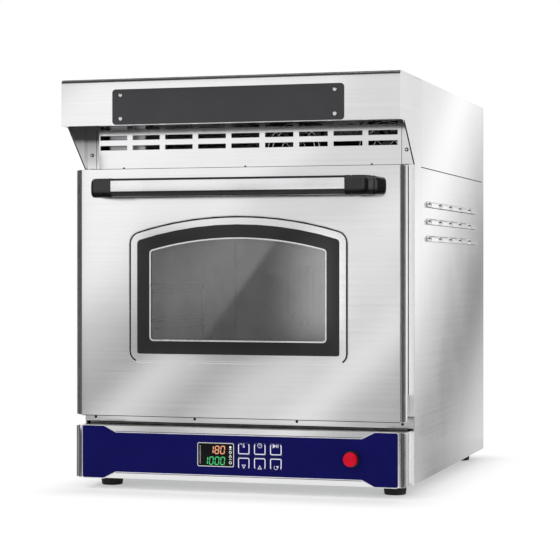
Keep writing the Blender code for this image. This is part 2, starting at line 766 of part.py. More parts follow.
def turned(name, profile, place, turn, parent=BODY, steps=ROUND_STEPS):
    """A turned piece: the profile's (radius, height) points run down its outer side."""
    bm = bmesh.new()
    points = [bm.verts.new((radius, 0, height)) for radius, height in profile]
    for first, second in zip(points, points[1:]):
        bm.edges.new((first, second))
    obj = mesh_object(name, bm, parent, place, turn)
    spin = obj.modifiers.new("turn", "SCREW")
    spin.steps = steps
    spin.render_steps = steps
    spin.use_merge_vertices = True
    spin.merge_threshold = WELD
    spin.use_smooth_shade = True
    return obj


def rod(name, start, end, radius, parent=BODY, steps=WIRE_SIDES):
    """A round rod between two points."""
    start, end = Vector(start), Vector(end)
    bm = bmesh.new()
    way = end - start
    turn = way.to_track_quat("Z", "Y").to_matrix().to_4x4()
    bmesh.ops.create_cone(bm, cap_ends=True, segments=steps, radius1=radius, radius2=radius,
                          depth=way.length, matrix=Matrix.Translation((start + end) / 2) @ turn)
    return mesh_object(name, bm, parent)


def screw_heads(name, places, parent=BODY):
    """Low domed heads that face the front, each sunk a little into what it holds."""
    bm = bmesh.new()
    proud = SCREW_HEIGHT * SCREW_PROUD_SHARE
    for x, y, z in places:
        flat = Matrix.Diagonal((SCREW_RADIUS, SCREW_HEIGHT, SCREW_RADIUS, 1))
        bmesh.ops.create_uvsphere(bm, u_segments=SCREW_SIDES, v_segments=SCREW_RINGS, radius=1,
                                  matrix=Matrix.Translation((x, y - proud, z)) @ flat)
    return mesh_object(name, bm, parent)


def front_frame():
    """The full-height front with its side returns, open at the chamber's mouth."""
    obj = folded_box("front_frame", (-HALF_WIDTH, 0, FOOT_HEIGHT),
                     (HALF_WIDTH, CORNER_STRIP, OVERALL_HEIGHT - SHEET - GAP), (BACK, DOWN))
    mouth = box("frame_mouth", (-LINER_HALF_IN, -OVERRUN, CHAMBER_FLOOR_Z + SHEET),
                (LINER_HALF_IN, OVERRUN, CHAMBER_TOP_Z - SHEET))
    slot_margin = SLOT_HEIGHT / 2 + GRILLE_OPENING_MARGIN
    lowest_row = SLOT_TOP_ROW_Z - SLOT_ROW_PITCH * (SLOT_ROWS - 1)
    half_slots = SLOT_PITCH * (SLOT_COLUMNS - 1) / 2 + SLOT_LENGTH / 2
    air = box("frame_air_opening", (-half_slots, -OVERRUN, lowest_row - slot_margin),
              (half_slots, OVERRUN, SLOT_TOP_ROW_Z + slot_margin))
    shadow = box("frame_shadow_gap", (-INNER_HALF, -OVERRUN, BOX_TOP_Z),
                 (INNER_HALF, OVERRUN, RAIL_BOTTOM_Z))
    wiring = box("frame_wiring_hole", (-WIRING_HALF_WIDTH, -OVERRUN, BOX_MID_Z - WIRING_HALF_HEIGHT),
                 (WIRING_HALF_WIDTH, OVERRUN, BOX_MID_Z + WIRING_HALF_HEIGHT))
    keep(cut(obj, mouth, air, shadow, wiring), "brushed_steel")


def base_pan():
    obj = folded_box("base_pan", (-INNER_HALF, SHEET + GAP, FOOT_HEIGHT),
                     (INNER_HALF, BODY_DEPTH - SHEET - GAP, FOOT_HEIGHT + PAN_WALL), (UP,))
    keep(obj, "zinc_plate")


def partition_deck():
    """The floor of the upper bay, which carries the cooling fans and the power box."""
    obj = folded_box("partition_deck", (-INNER_HALF, SHEET + GAP, DECK_Z - DECK_LIP),
                     (INNER_HALF, BODY_DEPTH - SHEET - GAP, DECK_Z), (DOWN,))
    keep(obj, "zinc_plate")


def louver_shells(name, side, wall, root, drop):
    """The pressed hoods of one side panel, each smaller by the wall's thickness."""
    bm = bmesh.new()
    high, proud = LOUVER_HEIGHT - wall, LOUVER_PROUD - wall
    for row in range(LOUVER_ROWS):
        for column in range(LOUVER_COLUMNS):
            near_y = LOUVER_FRONT_Y + column * LOUVER_PITCH + wall
            long = LOUVER_LENGTH - 2 * wall
            bottom_z = LOUVER_BOTTOM_Z + row * LOUVER_ROW_PITCH
            points = []
            for out_share, up_share, inset_share in LOUVER_SHAPE_SHARES:
                out = HALF_WIDTH + proud * out_share if out_share else HALF_WIDTH - root
                up = bottom_z + (high * up_share if up_share else -drop)
                for end in (inset_share, 1 - inset_share):
                    points.append(bm.verts.new((side * out, near_y + long * end, up)))
            bmesh.ops.convex_hull(bm, input=points)
    bmesh.ops.recalc_face_normals(bm, faces=bm.faces)
    return mesh_object(name, bm, BODY)


def side_panel(name, side):
    """A lower side with three rows of pressed louvers that open downward."""
    outer, inner = side * HALF_WIDTH, side * (HALF_WIDTH - SIDE_LIP)
    inward = RIGHT if side < 0 else LEFT
    obj = folded_box(name, (min(outer, inner), CORNER_STRIP + GAP, FOOT_HEIGHT),
                     (max(outer, inner), REAR_STRIP_Y, SEAM_Z - GAP), (inward, FRONT, BACK, DOWN))
    hoods = louver_shells(name + "_hoods", side, 0, SHEET / 2, 0)
    hollows = louver_shells(name + "_hollows", side, SHEET, OVERRUN, SHEET)
    keep(cut(join(obj, hoods), hollows), "brushed_steel")


def top_cover():
    obj = folded_box("top_cover", (-HALF_WIDTH, CORNER_STRIP + GAP, SEAM_Z),
                     (HALF_WIDTH, REAR_STRIP_Y, OVERALL_HEIGHT), (FRONT, BACK, DOWN))
    keep(obj, "brushed_steel")


def rear_panel():
    """The back, with its returns, two rows of air slots and the gland's hole."""
    obj = folded_box("rear_panel", (-HALF_WIDTH, REAR_STRIP_Y + GAP, FOOT_HEIGHT),
                     (HALF_WIDTH, BODY_DEPTH, OVERALL_HEIGHT), (FRONT, DOWN))
    corners = []
    for drop in (REAR_UPPER_SLOT_DROP, REAR_LOWER_SLOT_DROP):
        middle_z = OVERALL_HEIGHT - drop
        for index in range(REAR_SLOT_COUNT):
            x = (index - (REAR_SLOT_COUNT - 1) / 2) * REAR_SLOT_PITCH
            corners.append(((x - REAR_SLOT_WIDTH / 2, BODY_DEPTH - OVERRUN,
                             middle_z - REAR_SLOT_HEIGHT / 2),
                            (x + REAR_SLOT_WIDTH / 2, BODY_DEPTH + OVERRUN,
                             middle_z + REAR_SLOT_HEIGHT / 2)))
    slots = many_boxes("rear_slots", corners)
    hole = rod("gland_hole", (GLAND_X, BODY_DEPTH - OVERRUN, GLAND_Z),
               (GLAND_X, BODY_DEPTH + OVERRUN, GLAND_Z), GLAND_THREAD_RADIUS + GAP,
               steps=ROUND_STEPS)
    keep(cut(obj, slots, hole), "brushed_steel")


def cable_gland():
    """The cable's way in: a nut inside, a threaded neck and a domed cap outside."""
    front = -SHEET - GAP - GLAND_NUT_THICKNESS
    profile = [
        (GLAND_BORE_RADIUS, GLAND_REACH),
        (GLAND_DOME_RADIUS - GLAND_BORE_RADIUS / 2, GLAND_REACH),
        (GLAND_DOME_RADIUS, GLAND_REACH - GLAND_BORE_RADIUS),
        (GLAND_DOME_RADIUS, GLAND_NUT_THICKNESS),
        (GLAND_NUT_RADIUS, GLAND_NUT_THICKNESS),
        (GLAND_NUT_RADIUS, GAP),
        (GLAND_THREAD_RADIUS, GAP),
        (GLAND_THREAD_RADIUS, -SHEET - GAP),
        (GLAND_NUT_RADIUS, -SHEET - GAP),
        (GLAND_NUT_RADIUS, front),
        (GLAND_BORE_RADIUS, front),
        (GLAND_BORE_RADIUS, GLAND_REACH),
    ]
    obj = turned("cable_gland", profile, (GLAND_X, BODY_DEPTH, GLAND_Z), ABOUT_Y,
                 steps=GLAND_SIDES)
    keep(obj, "black_plastic")


def feet():
    profile = [
        (0, FOOT_HEIGHT - GAP),
        (FOOT_TOP_RADIUS, FOOT_HEIGHT - GAP),
        (FOOT_BOTTOM_RADIUS, FOOT_EDGE),
        (FOOT_BOTTOM_RADIUS - FOOT_EDGE, 0),
        (0, 0),
    ]
    rows = (("front", FOOT_FRONT_Y), ("rear", BODY_DEPTH - FOOT_REAR_INSET))
    foot_x = HALF_WIDTH - FOOT_SIDE_INSET
    for row, y in rows:
        for side, x in (("left", -foot_x), ("right", foot_x)):
            foot = turned("foot_" + row + "_" + side, profile, (x, y, 0), LEVEL)
            keep(foot, "rubber")


def visor_hood():
    """The hood: fascia, roof strip, slanted cheeks and the flanges that hold it."""
    profile = rounded([
        (-HOOD_REACH, HOOD_BOTTOM_Z, 0),
        (-CHEEK_STEP, HOOD_BOTTOM_Z, 0),
        (-CHEEK_SLOPE_START, HOOD_BOTTOM_Z - CHEEK_SLOPE_DROP, 0),
        (-GAP, CHEEK_FOOT_Z, 0),
        (-GAP, OVERALL_HEIGHT - SHEET, 0),
        (CORNER_STRIP, OVERALL_HEIGHT - SHEET, 0),
        (CORNER_STRIP, OVERALL_HEIGHT, 0),
        (-HOOD_REACH, OVERALL_HEIGHT, HOOD_TOP_RADIUS),
    ])
    obj = outline("visor_hood", [profile], ALONG_X, (0, 0, 0), BODY_WIDTH)
    inside_half = HALF_WIDTH - SHEET
    inside_profile = rounded([
        (SHEET - HOOD_REACH, CHEEK_FOOT_Z - OVERRUN, 0),
        (CORNER_STRIP + OVERRUN, CHEEK_FOOT_Z - OVERRUN, 0),
        (CORNER_STRIP + OVERRUN, OVERALL_HEIGHT - SHEET, 0),
        (SHEET - HOOD_REACH, OVERALL_HEIGHT - SHEET, HOOD_TOP_RADIUS - SHEET),
    ])
    inside = outline("hood_inside", [inside_profile], ALONG_X, (0, 0, 0), 2 * inside_half)
    lip = box("hood_lip", (-inside_half - SHEET / 2, SHEET / 2 - HOOD_REACH, HOOD_BOTTOM_Z),
              (inside_half + SHEET / 2, HOOD_LIP - HOOD_REACH, HOOD_BOTTOM_Z + SHEET))
    flanges = sides("hood_flanges", (HALF_WIDTH - FLANGE_WIDTH, inside_half + SHEET / 2),
                    (-GAP - SHEET, CHEEK_FOOT_Z + SHEET), (-GAP, OVERALL_HEIGHT - FLANGE_HEAD))
    screw_x = HALF_WIDTH - FLANGE_SCREW_INSET
    screw_z = CHEEK_FOOT_Z + FLANGE_SCREW_RISE
    heads = screw_heads("flange_screws", [(side * screw_x, -GAP - SHEET, screw_z)
                                          for side in (-1, 1)])
    keep(join(cut(obj, inside), lip, flanges, heads), "brushed_steel")


def nameplate():
    """A dark plate on the fascia, held by four domed screws."""
    half = HALF_WIDTH - PLATE_SIDE_MARGIN
    foot, top = HOOD_BOTTOM_Z + PLATE_FOOT_MARGIN, OVERALL_HEIGHT - PLATE_HEAD_MARGIN
    loop = rectangle((-half, foot), (half, top), PLATE_CORNER)
    middle = PLATE_BACK - PLATE_THICKNESS / 2
    obj = outline("nameplate", [loop], FACING_FRONT, (0, middle, 0), PLATE_THICKNESS)
    heads = screw_heads("plate_screws", [
        (side * (half - PLATE_SCREW_INSET_X), PLATE_BACK - PLATE_THICKNESS, z)
        for side in (-1, 1)
        for z in (foot + PLATE_SCREW_INSET_Z, top - PLATE_SCREW_INSET_Z)])
    keep(join(obj, heads), "dark_plate")


def vent_grille():
    """The slotted sheet in front of the cooling fans, with its lower screws."""
    top = OVERALL_HEIGHT - GRILLE_HEAD
    loops = [rectangle((-GRILLE_HALF, GRILLE_BOTTOM_Z), (GRILLE_HALF, top))]
    for row in range(SLOT_ROWS):
        z = SLOT_TOP_ROW_Z - row * SLOT_ROW_PITCH
        for column in range(SLOT_COLUMNS):
            x = (column - (SLOT_COLUMNS - 1) / 2) * SLOT_PITCH
            loops.append(rectangle((x - SLOT_LENGTH / 2, z - SLOT_HEIGHT / 2),
                                   (x + SLOT_LENGTH / 2, z + SLOT_HEIGHT / 2)))
    middle = -GAP - SHEET / 2
    obj = outline("vent_grille", loops, FACING_FRONT, (0, middle, 0), SHEET)
    screw_x = GRILLE_HALF - GRILLE_SCREW_INSET
    screw_z = GRILLE_BOTTOM_Z + GRILLE_SCREW_RISE
    heads = screw_heads("grille_screws", [(x, -GAP - SHEET, screw_z)
                                          for x in (-screw_x, 0, screw_x)])
    keep(join(obj, heads), "brushed_steel")


def lower_rail():
    """The strip under the door, with its upper corners cut off and four screws."""
    half = HALF_WIDTH - GAP
    loop = [(-half, RAIL_BOTTOM_Z), (half, RAIL_BOTTOM_Z), (half, RAIL_TOP_Z - RAIL_CORNER),
            (half - RAIL_CORNER, RAIL_TOP_Z), (RAIL_CORNER - half, RAIL_TOP_Z),
            (-half, RAIL_TOP_Z - RAIL_CORNER)]
    obj = outline("lower_rail", [loop], FACING_FRONT, (0, -GAP - SHEET / 2, 0), SHEET)
    span = 2 * (HALF_WIDTH - RAIL_SCREW_INSET)
    pitch = span / (RAIL_SCREW_COUNT - 1)
    heads = screw_heads("rail_screws", [
        (index * pitch - span / 2, -GAP - SHEET, RAIL_TOP_Z - RAIL_SCREW_DROP)
        for index in range(RAIL_SCREW_COUNT)])
    keep(join(obj, heads), "brushed_steel")


def mouth_seal():
    """The seal round the chamber's mouth, which the closed door presses on."""
    inner_x = LINER_HALF_IN + MOUTH_SEAL_INNER
    outer_x = inner_x + MOUTH_SEAL_WIDTH
    low_in, high_in = CHAMBER_FLOOR_Z - MOUTH_SEAL_INNER, CHAMBER_TOP_Z + MOUTH_SEAL_INNER
    low_out, high_out = low_in - MOUTH_SEAL_WIDTH, high_in + MOUTH_SEAL_WIDTH
    loops = [
        rectangle((-outer_x, low_out), (outer_x, high_out), MOUTH_SEAL_CORNER),
        rectangle((-inner_x, low_in), (inner_x, high_in), MOUTH_SEAL_CORNER - MOUTH_SEAL_WIDTH / 2),
    ]
    depth = MOUTH_SEAL_DEPTH - GAP
    obj = outline("mouth_seal", loops, FACING_FRONT, (0, -GAP - depth / 2, 0), depth)
    keep(obj, "seal_grey")


def heater_terminals(name, z, back_y, clearance):
    """Two round holes where a heating element leaves the back of the chamber."""
    bm = bmesh.new()
    for x in (-HEATER_RUN_X, HEATER_RUN_X):
        turn = Matrix.Rotation(math.pi / 2, 4, "X")
        bmesh.ops.create_cone(bm, cap_ends=True, segments=WIRE_SIDES,
                              radius1=HEATER_RADIUS + clearance,
                              radius2=HEATER_RADIUS + clearance,
                              depth=INSULATION * 2 + OVERRUN,
                              matrix=Matrix.Translation((x, back_y, z)) @ turn)
    return mesh_object(name, bm, BODY)


def chamber_holes(shell, radius_extra):
    """Holes for the fan's shaft, the heaters' ends, the probe and the lamp."""
    near, far = CHAMBER_BACK_Y - OVERRUN, JACKET_BACK_Y + OVERRUN
    shaft = rod(shell + "_shaft_hole", (0, near, WHEEL_Z), (0, far, WHEEL_Z),
                SHAFT_RADIUS + SHAFT_WALL_CLEARANCE + radius_extra, steps=ROUND_STEPS)
    probe = rod(shell + "_probe_hole", (PROBE_X, near, PROBE_Z), (PROBE_X, far, PROBE_Z),
                PROBE_RADIUS + GAP + radius_extra, steps=WIRE_SIDES)
    lamp = rod(shell + "_lamp_hole", (CHAMBER_HALF - OVERRUN, LAMP_Y, LAMP_Z),
               (CHAMBER_HALF + GAP + INSULATION + OVERRUN, LAMP_Y, LAMP_Z),
               LAMP_HOLE_RADIUS + GAP, steps=ROUND_STEPS)
    low = heater_terminals(shell + "_low_holes", HEATER_LOW_Z, CHAMBER_BACK_Y,
                           GAP + radius_extra)
    high = heater_terminals(shell + "_high_holes", HEATER_HIGH_Z, CHAMBER_BACK_Y,
                            GAP + radius_extra)
    return shaft, probe, lamp, low, high


def cavity_liner():
    """The cooking chamber, with a ledge on each side for the stone."""
    obj = folded_box("cavity_liner", (-CHAMBER_HALF, SHEET + GAP, CHAMBER_FLOOR_Z),
                     (CHAMBER_HALF, CHAMBER_BACK_Y, CHAMBER_TOP_Z), (FRONT,))
    ledges = sides("stone_ledges", (LINER_HALF_IN - LEDGE_WIDTH, CHAMBER_HALF - SHEET / 2),
                   (STONE_FRONT_Y, CHAMBER_FLOOR_Z + SHEET / 2),
                   (CHAMBER_BACK_Y - LEDGE_REAR_GAP, LEDGE_TOP_Z))
    keep(cut(join(obj, ledges), *chamber_holes("liner", 0)), "liner_steel")


def insulation_jacket():
    """Mineral board round the chamber on all sides but the mouth."""
    far = CHAMBER_HALF + GAP + INSULATION
    obj = box("insulation_jacket", (-far, SHEET + GAP, CHAMBER_FLOOR_Z - GAP - INSULATION),
              (far, JACKET_BACK_Y, CHAMBER_TOP_Z + GAP + INSULATION))
    near = CHAMBER_HALF + GAP
    hollow = box("jacket_hollow", (-near, SHEET + GAP - OVERRUN, CHAMBER_FLOOR_Z - GAP),
                 (near, CHAMBER_BACK_Y + GAP, CHAMBER_TOP_Z + GAP))
    keep(cut(obj, hollow, *chamber_holes("jacket", GAP)), "mineral_board")


def baking_stone():
    half = CHAMBER_HALF - STONE_SIDE_GAP
    obj = box("baking_stone", (-half, STONE_FRONT_Y, LEDGE_TOP_Z + GAP),
              (half, CHAMBER_BACK_Y - STONE_REAR_GAP, STONE_TOP_Z))
    edge = obj.modifiers.new("edge", "BEVEL")
    edge.width = STONE_EDGE
    edge.segments = 1
    keep(obj, "cordierite")


def rack_guide(name, side):
    """A wire ladder on a side wall: two uprights and a pair of wires for each level."""
    upright_x = side * (LINER_HALF_IN - GAP - GUIDE_WIRE)
    wire_x = upright_x - side * GUIDE_OVERLAP
    obj = rod(name, (upright_x, GUIDE_FRONT_Y, GUIDE_FOOT_Z),
              (upright_x, GUIDE_FRONT_Y, GUIDE_TOP_Z), GUIDE_WIRE)
    others = [rod(name + "_rear", (upright_x, GUIDE_BACK_Y, GUIDE_FOOT_Z),
                  (upright_x, GUIDE_BACK_Y, GUIDE_TOP_Z), GUIDE_WIRE)]
    for level_z in GUIDE_LEVELS_Z:
        for lift in (-GUIDE_PAIR / 2, GUIDE_PAIR / 2):
            others.append(rod(name + "_wire", (wire_x, GUIDE_FRONT_Y - GUIDE_WIRE_END, level_z + lift),
                              (wire_x, GUIDE_BACK_Y + GUIDE_WIRE_END, level_z + lift), GUIDE_WIRE))
    keep(join(obj, *others), "chrome_wire")


def serpentine():
    """The plan of a heating element: straight runs joined by half circles."""
    pitch = 2 * HEATER_RUN_X / (HEATER_RUN_COUNT - 1)
    tail = JACKET_BACK_Y + HEATER_TAIL
    points = [(-HEATER_RUN_X, tail)]
    for run in range(HEATER_RUN_COUNT - 1):
        left = run * pitch - HEATER_RUN_X
        forward = run % 2 == 0
        turn_y = HEATER_FRONT_Y if forward else HEATER_TURN_Y
        sense = -1 if forward else 1
        for step in range(HEATER_TURN_STEPS + 1):
            angle = math.pi * step / HEATER_TURN_STEPS
            points.append((left + pitch / 2 * (1 - math.cos(angle)),
                           turn_y + sense * pitch / 2 * math.sin(angle)))
    points.append((HEATER_RUN_X, tail))
    return points


def heater(name, z):
    """A sheathed element whose ends pass through the back wall."""
    curve = bpy.data.curves.new(name, "CURVE")
    curve.dimensions = "3D"
    curve.bevel_depth = HEATER_RADIUS
    curve.bevel_resolution = 2
    curve.use_fill_caps = True
    spline = curve.splines.new("POLY")
    plan = serpentine()
    spline.points.add(len(plan) - 1)
    for point, (x, y) in zip(spline.points, plan):
        point.co = (x, y, z, 1)
    obj = bpy.data.objects.new(name, curve)
    obj.parent = BODY
    CUTTERS.objects.link(obj)
    keep(obj, "heater_sheath")


def fan_baffle():
    """The plate in front of the hot-air wheel, with intake slots and side outlets."""
    back = CHAMBER_BACK_Y - SHEET - GAP
    front = back - BAFFLE_DEPTH
    obj = folded_box("fan_baffle", (-BAFFLE_HALF, front, BAFFLE_BOTTOM_Z),
                     (BAFFLE_HALF, back, BAFFLE_TOP_Z), (BACK,), edge_radius=BAFFLE_CORNER)
    corners = []
    slot_width = INTAKE_RADIUS * INTAKE_SLOT_WIDTH_SHARE
    for index in range(INTAKE_SLOTS):
        x = (index - (INTAKE_SLOTS - 1) / 2) * INTAKE_RADIUS * INTAKE_SLOT_PITCH_SHARE
        half = math.sqrt(INTAKE_RADIUS ** 2 - x ** 2)
        corners.append(((x - slot_width / 2, front - OVERRUN, WHEEL_Z - half),
                        (x + slot_width / 2, front + OVERRUN, WHEEL_Z + half)))
    slots = many_boxes("intake_slots", corners)
    outlet = BAFFLE_HEIGHT * OUTLET_HEIGHT_SHARE
    outlets = sides("outlets", (BAFFLE_HALF - OVERRUN, BAFFLE_HALF + OVERRUN),
                    (back - OVERRUN - OUTLET_DEPTH, WHEEL_Z - outlet / 2),
                    (back - OVERRUN, WHEEL_Z + outlet / 2))
    keep(cut(obj, slots, outlets), "liner_steel")


def hot_air_fan():
    """The hot-air wheel with its shaft: a back plate, a hub and radial blades."""
    shaft_end = MOTOR_Y - WHEEL_Y + SHAFT_LENGTH_IN_MOTOR
    profile = [
        (0, shaft_end),
        (SHAFT_RADIUS, shaft_end),
        (SHAFT_RADIUS, 0),
        (WHEEL_RADIUS, 0),
        (WHEEL_RADIUS, -WHEEL_PLATE),
        (HUB_RADIUS, -WHEEL_PLATE),
        (HUB_RADIUS, -BLADE_DEPTH / 2),
        (0, -BLADE_DEPTH / 2),
    ]
    obj = turned("hot_air_fan", profile, (0, WHEEL_Y, WHEEL_Z), ABOUT_Y)
    bm = bmesh.new()
    for index in range(WHEEL_BLADES):
        angle = 2 * math.pi * index / WHEEL_BLADES
        size = Matrix.Diagonal((BLADE_LENGTH, BLADE_DEPTH, BLADE_THICKNESS, 1))
        start = WHEEL_RADIUS - BLADE_LENGTH / 2 - GAP
        spin = Matrix.Rotation(angle, 4, "Y")
        bmesh.ops.create_cube(bm, size=1, matrix=spin @ Matrix.Translation((start, 0, 0)) @ size)
    middle_y = WHEEL_Y - WHEEL_PLATE / 2 - BLADE_DEPTH / 2
    blades = mesh_object("hot_air_blades", bm, BODY, (0, middle_y, WHEEL_Z))
    keep(join(obj, blades), "liner_steel")


def fan_motor():
    """The motor behind the insulation, with a bore for the wheel's shaft."""
    profile = [
        (0, MOTOR_LENGTH),
        (MOTOR_RADIUS - MOTOR_EDGE, MOTOR_LENGTH),
        (MOTOR_RADIUS, MOTOR_LENGTH - MOTOR_EDGE),
        (MOTOR_RADIUS, MOTOR_FLANGE),
        (MOTOR_FLANGE_RADIUS, MOTOR_FLANGE),
        (MOTOR_FLANGE_RADIUS, 0),
        (SHAFT_RADIUS + GAP, 0),
        (SHAFT_RADIUS + GAP, SHAFT_LENGTH_IN_MOTOR + GAP),
        (0, SHAFT_LENGTH_IN_MOTOR + GAP),
    ]
    keep(turned("hot_air_motor", profile, (0, MOTOR_Y, WHEEL_Z), ABOUT_Y), "zinc_plate")


def chamber_lamp():
    """The lamp: a glass dome inside the wall and its holder through the insulation."""
    wall = LINER_HALF_IN - GAP
    glass = [
        (0, 0),
        (LAMP_GLASS_RADIUS, 0),
        (LAMP_GLASS_RADIUS, -LAMP_GLASS_RIM),
        (LAMP_HOLE_RADIUS, -LAMP_GLASS_RIM),
        (LAMP_HOLE_RADIUS * math.cos(math.pi / 4),
         -LAMP_GLASS_RIM - (LAMP_GLASS_REACH - LAMP_GLASS_RIM) * math.sin(math.pi / 4)),
        (0, -LAMP_GLASS_REACH),
    ]
    keep(turned("lamp_glass", glass, (wall, LAMP_Y, LAMP_Z), ABOUT_X), "clear_glass")
    outside = CHAMBER_HALF + GAP + INSULATION + GAP - LINER_HALF_IN
    holder = [
        (0, LAMP_HOLDER_LENGTH),
        (LAMP_HOLE_RADIUS, LAMP_HOLDER_LENGTH),
        (LAMP_HOLE_RADIUS, outside + LAMP_GLASS_RIM),
        (LAMP_HOLDER_FLANGE, outside + LAMP_GLASS_RIM),
        (LAMP_HOLDER_FLANGE, outside),
        (LAMP_HOLE_RADIUS, outside),
        (LAMP_HOLE_RADIUS, 0),
        (0, 0),
    ]
    place = (LINER_HALF_IN, LAMP_Y, LAMP_Z)
    keep(turned("lamp_holder", holder, place, ABOUT_X), "zinc_plate")


def temperature_probe():
    nut = JACKET_BACK_Y + GAP - CHAMBER_BACK_Y
    inner_end = nut + PROBE_NUT - PROBE_LENGTH
    profile = [
        (0, nut + PROBE_NUT),
        (PROBE_NUT_RADIUS, nut + PROBE_NUT),
        (PROBE_NUT_RADIUS, nut),
        (PROBE_RADIUS, nut),
        (PROBE_RADIUS, inner_end),
        (0, inner_end - PROBE_RADIUS),
    ]
    obj = turned("temperature_probe", profile, (PROBE_X, CHAMBER_BACK_Y, PROBE_Z), ABOUT_Y,
                 steps=WIRE_SIDES)
    keep(obj, "liner_steel")


def hinge_notches(name):
    """Room in the door's lower back corner for the hinge ears, open or closed."""
    half = EAR_BASE_WIDTH / 2 + ARM_GAP
    return sides(name, (EAR_X - half, EAR_X + half),
                 (HINGE_Y - NOTCH_HALF, DOOR_BOTTOM_Z - OVERRUN),
                 (OVERRUN, HINGE_Z + NOTCH_RISE), DOOR)


def door_outer_skin():
    """The door's front sheet: folded edges, arched opening and a groove round it."""
    half = DOOR_WIDTH / 2
    obj = folded_box("door_outer_skin", (-half, -DOOR_FRONT, DOOR_BOTTOM_Z),
                     (half, DOOR_SKIN_DEPTH - DOOR_FRONT, DOOR_TOP_Z), (BACK,), DOOR,
                     DOOR_EDGE_RADIUS)
    opening = outline("window_opening", [arched(0)], FACING_FRONT, (0, -DOOR_FRONT, 0),
                      OVERRUN * 2, DOOR)
    groove = outline("window_groove", [arched(-GROOVE_OFFSET - GROOVE_WIDTH / 2),
                                       arched(GROOVE_WIDTH / 2 - GROOVE_OFFSET)],
                     FACING_FRONT, (0, -DOOR_FRONT, 0), GROOVE_DEPTH * 2, DOOR)
    keep(cut(obj, opening, groove, hinge_notches("skin_notches")), "brushed_steel")


def door_inner_panel():
    """The door's inner pan, with the inner window's opening."""
    half = DOOR_WIDTH / 2 - INNER_SIDE_INSET
    obj = folded_box("door_inner_panel", (-half, SKIN_BACK + GAP, DOOR_BOTTOM_Z + INNER_BOTTOM_INSET),
                     (half, -DOOR_BACK, DOOR_TOP_Z - INNER_BOTTOM_INSET), (FRONT,), DOOR)
    loop = rectangle((-INNER_WINDOW_HALF, INNER_WINDOW_BOTTOM_Z),
                     (INNER_WINDOW_HALF, INNER_WINDOW_TOP_Z), INNER_WINDOW_CORNER)
    opening = outline("inner_opening", [loop], FACING_FRONT, (0, -DOOR_BACK, 0),
                      OVERRUN * 2, DOOR)
    keep(cut(obj, opening, hinge_notches("panel_notches")), "liner_steel")


def door_glazing():
    """Outer glass with its printed border and silver line, and the inner glass."""
    face = SKIN_BACK + GAP
    outer = outline("outer_glass", [arched(-GLASS_OVERLAP)], FACING_FRONT,
                    (0, face + GLASS_THICKNESS / 2, 0), GLASS_THICKNESS, DOOR)
    keep(outer, "tinted_glass")
    border = outline("window_border", [arched(GAP), arched(BORDER_WIDTH)], FACING_FRONT,
                     (0, face - GAP - BORDER_RISE / 2, 0), BORDER_RISE, DOOR)
    keep(border, "black_enamel")
    trim = outline("silver_line", [arched(BORDER_WIDTH + GAP), arched(BORDER_WIDTH + TRIM_WIDTH)],
                   FACING_FRONT, (0, face - GAP - TRIM_RISE / 2, 0), TRIM_RISE, DOOR)
    keep(trim, "silver_print")
    back = -DOOR_BACK - SHEET - GAP
    low = (-INNER_WINDOW_HALF - GLASS_OVERLAP, INNER_WINDOW_BOTTOM_Z - GLASS_OVERLAP)
    high = (INNER_WINDOW_HALF + GLASS_OVERLAP, INNER_WINDOW_TOP_Z + GLASS_OVERLAP)
    inner = outline("inner_glass", [rectangle(low, high, INNER_WINDOW_CORNER)], FACING_FRONT,
                    (0, back - GLASS_THICKNESS / 2, 0), GLASS_THICKNESS, DOOR)
    keep(inner, "clear_glass")


def handle_bar():
    front, back = -HANDLE_REACH, HANDLE_DEPTH - HANDLE_REACH
    profile = rounded([
        (front, BAR_BOTTOM_Z, BAR_BOTTOM_RADIUS), (back, BAR_BOTTOM_Z, BAR_TOP_RADIUS),
        (back, BAR_TOP_Z, BAR_TOP_RADIUS), (front, BAR_TOP_Z, BAR_TOP_RADIUS)])
    keep(outline("handle_bar", [profile], ALONG_X, (0, 0, 0), 2 * BAR_HALF, DOOR), "aluminium")


def handle_bracket(name, side):
    """A black end bracket that bends back from the bar to the door."""
    front = GAP - HANDLE_REACH
    behind = HANDLE_DEPTH - HANDLE_REACH
    seat = -DOOR_FRONT - GAP
    inner, foot = BAR_HALF + BRACKET_INNER, BAR_HALF + BRACKET_FOOT
    plan = [
        (BAR_HALF + GAP, front, 0),
        (BAR_HALF + BRACKET_SHOULDER, front, BRACKET_CORNER_DROP),
        (BAR_HALF + BRACKET_CORNER, front + BRACKET_CORNER_DROP, BRACKET_CORNER_DROP),
        (foot, front + BRACKET_FLANK_DEPTH, BRACKET_CORNER_DROP),
        (foot, seat, 0),
        (foot - BRACKET_FOOT_WIDTH, seat, 0),
        (inner + BRACKET_CORNER_DROP, behind + BRACKET_CORNER_DROP, BRACKET_CORNER_DROP),
        (inner, behind, 0),
        (BAR_HALF + GAP, behind, 0),
    ]
    loop = [(side * x, y) for x, y in rounded(plan, 2)]
    middle = (BAR_BOTTOM_Z + BAR_TOP_Z) / 2
    obj = outline(name, [loop], LEVEL, (0, 0, middle), BAR_HEIGHT + 2 * BRACKET_RISE, DOOR)
    edge = obj.modifiers.new("edge", "BEVEL")
    edge.width = BRACKET_BEVEL
    edge.segments = 2
    edge.limit_method = "ANGLE"
    edge.angle_limit = BRACKET_BEVEL_ANGLE
    keep(obj, "black_plastic")


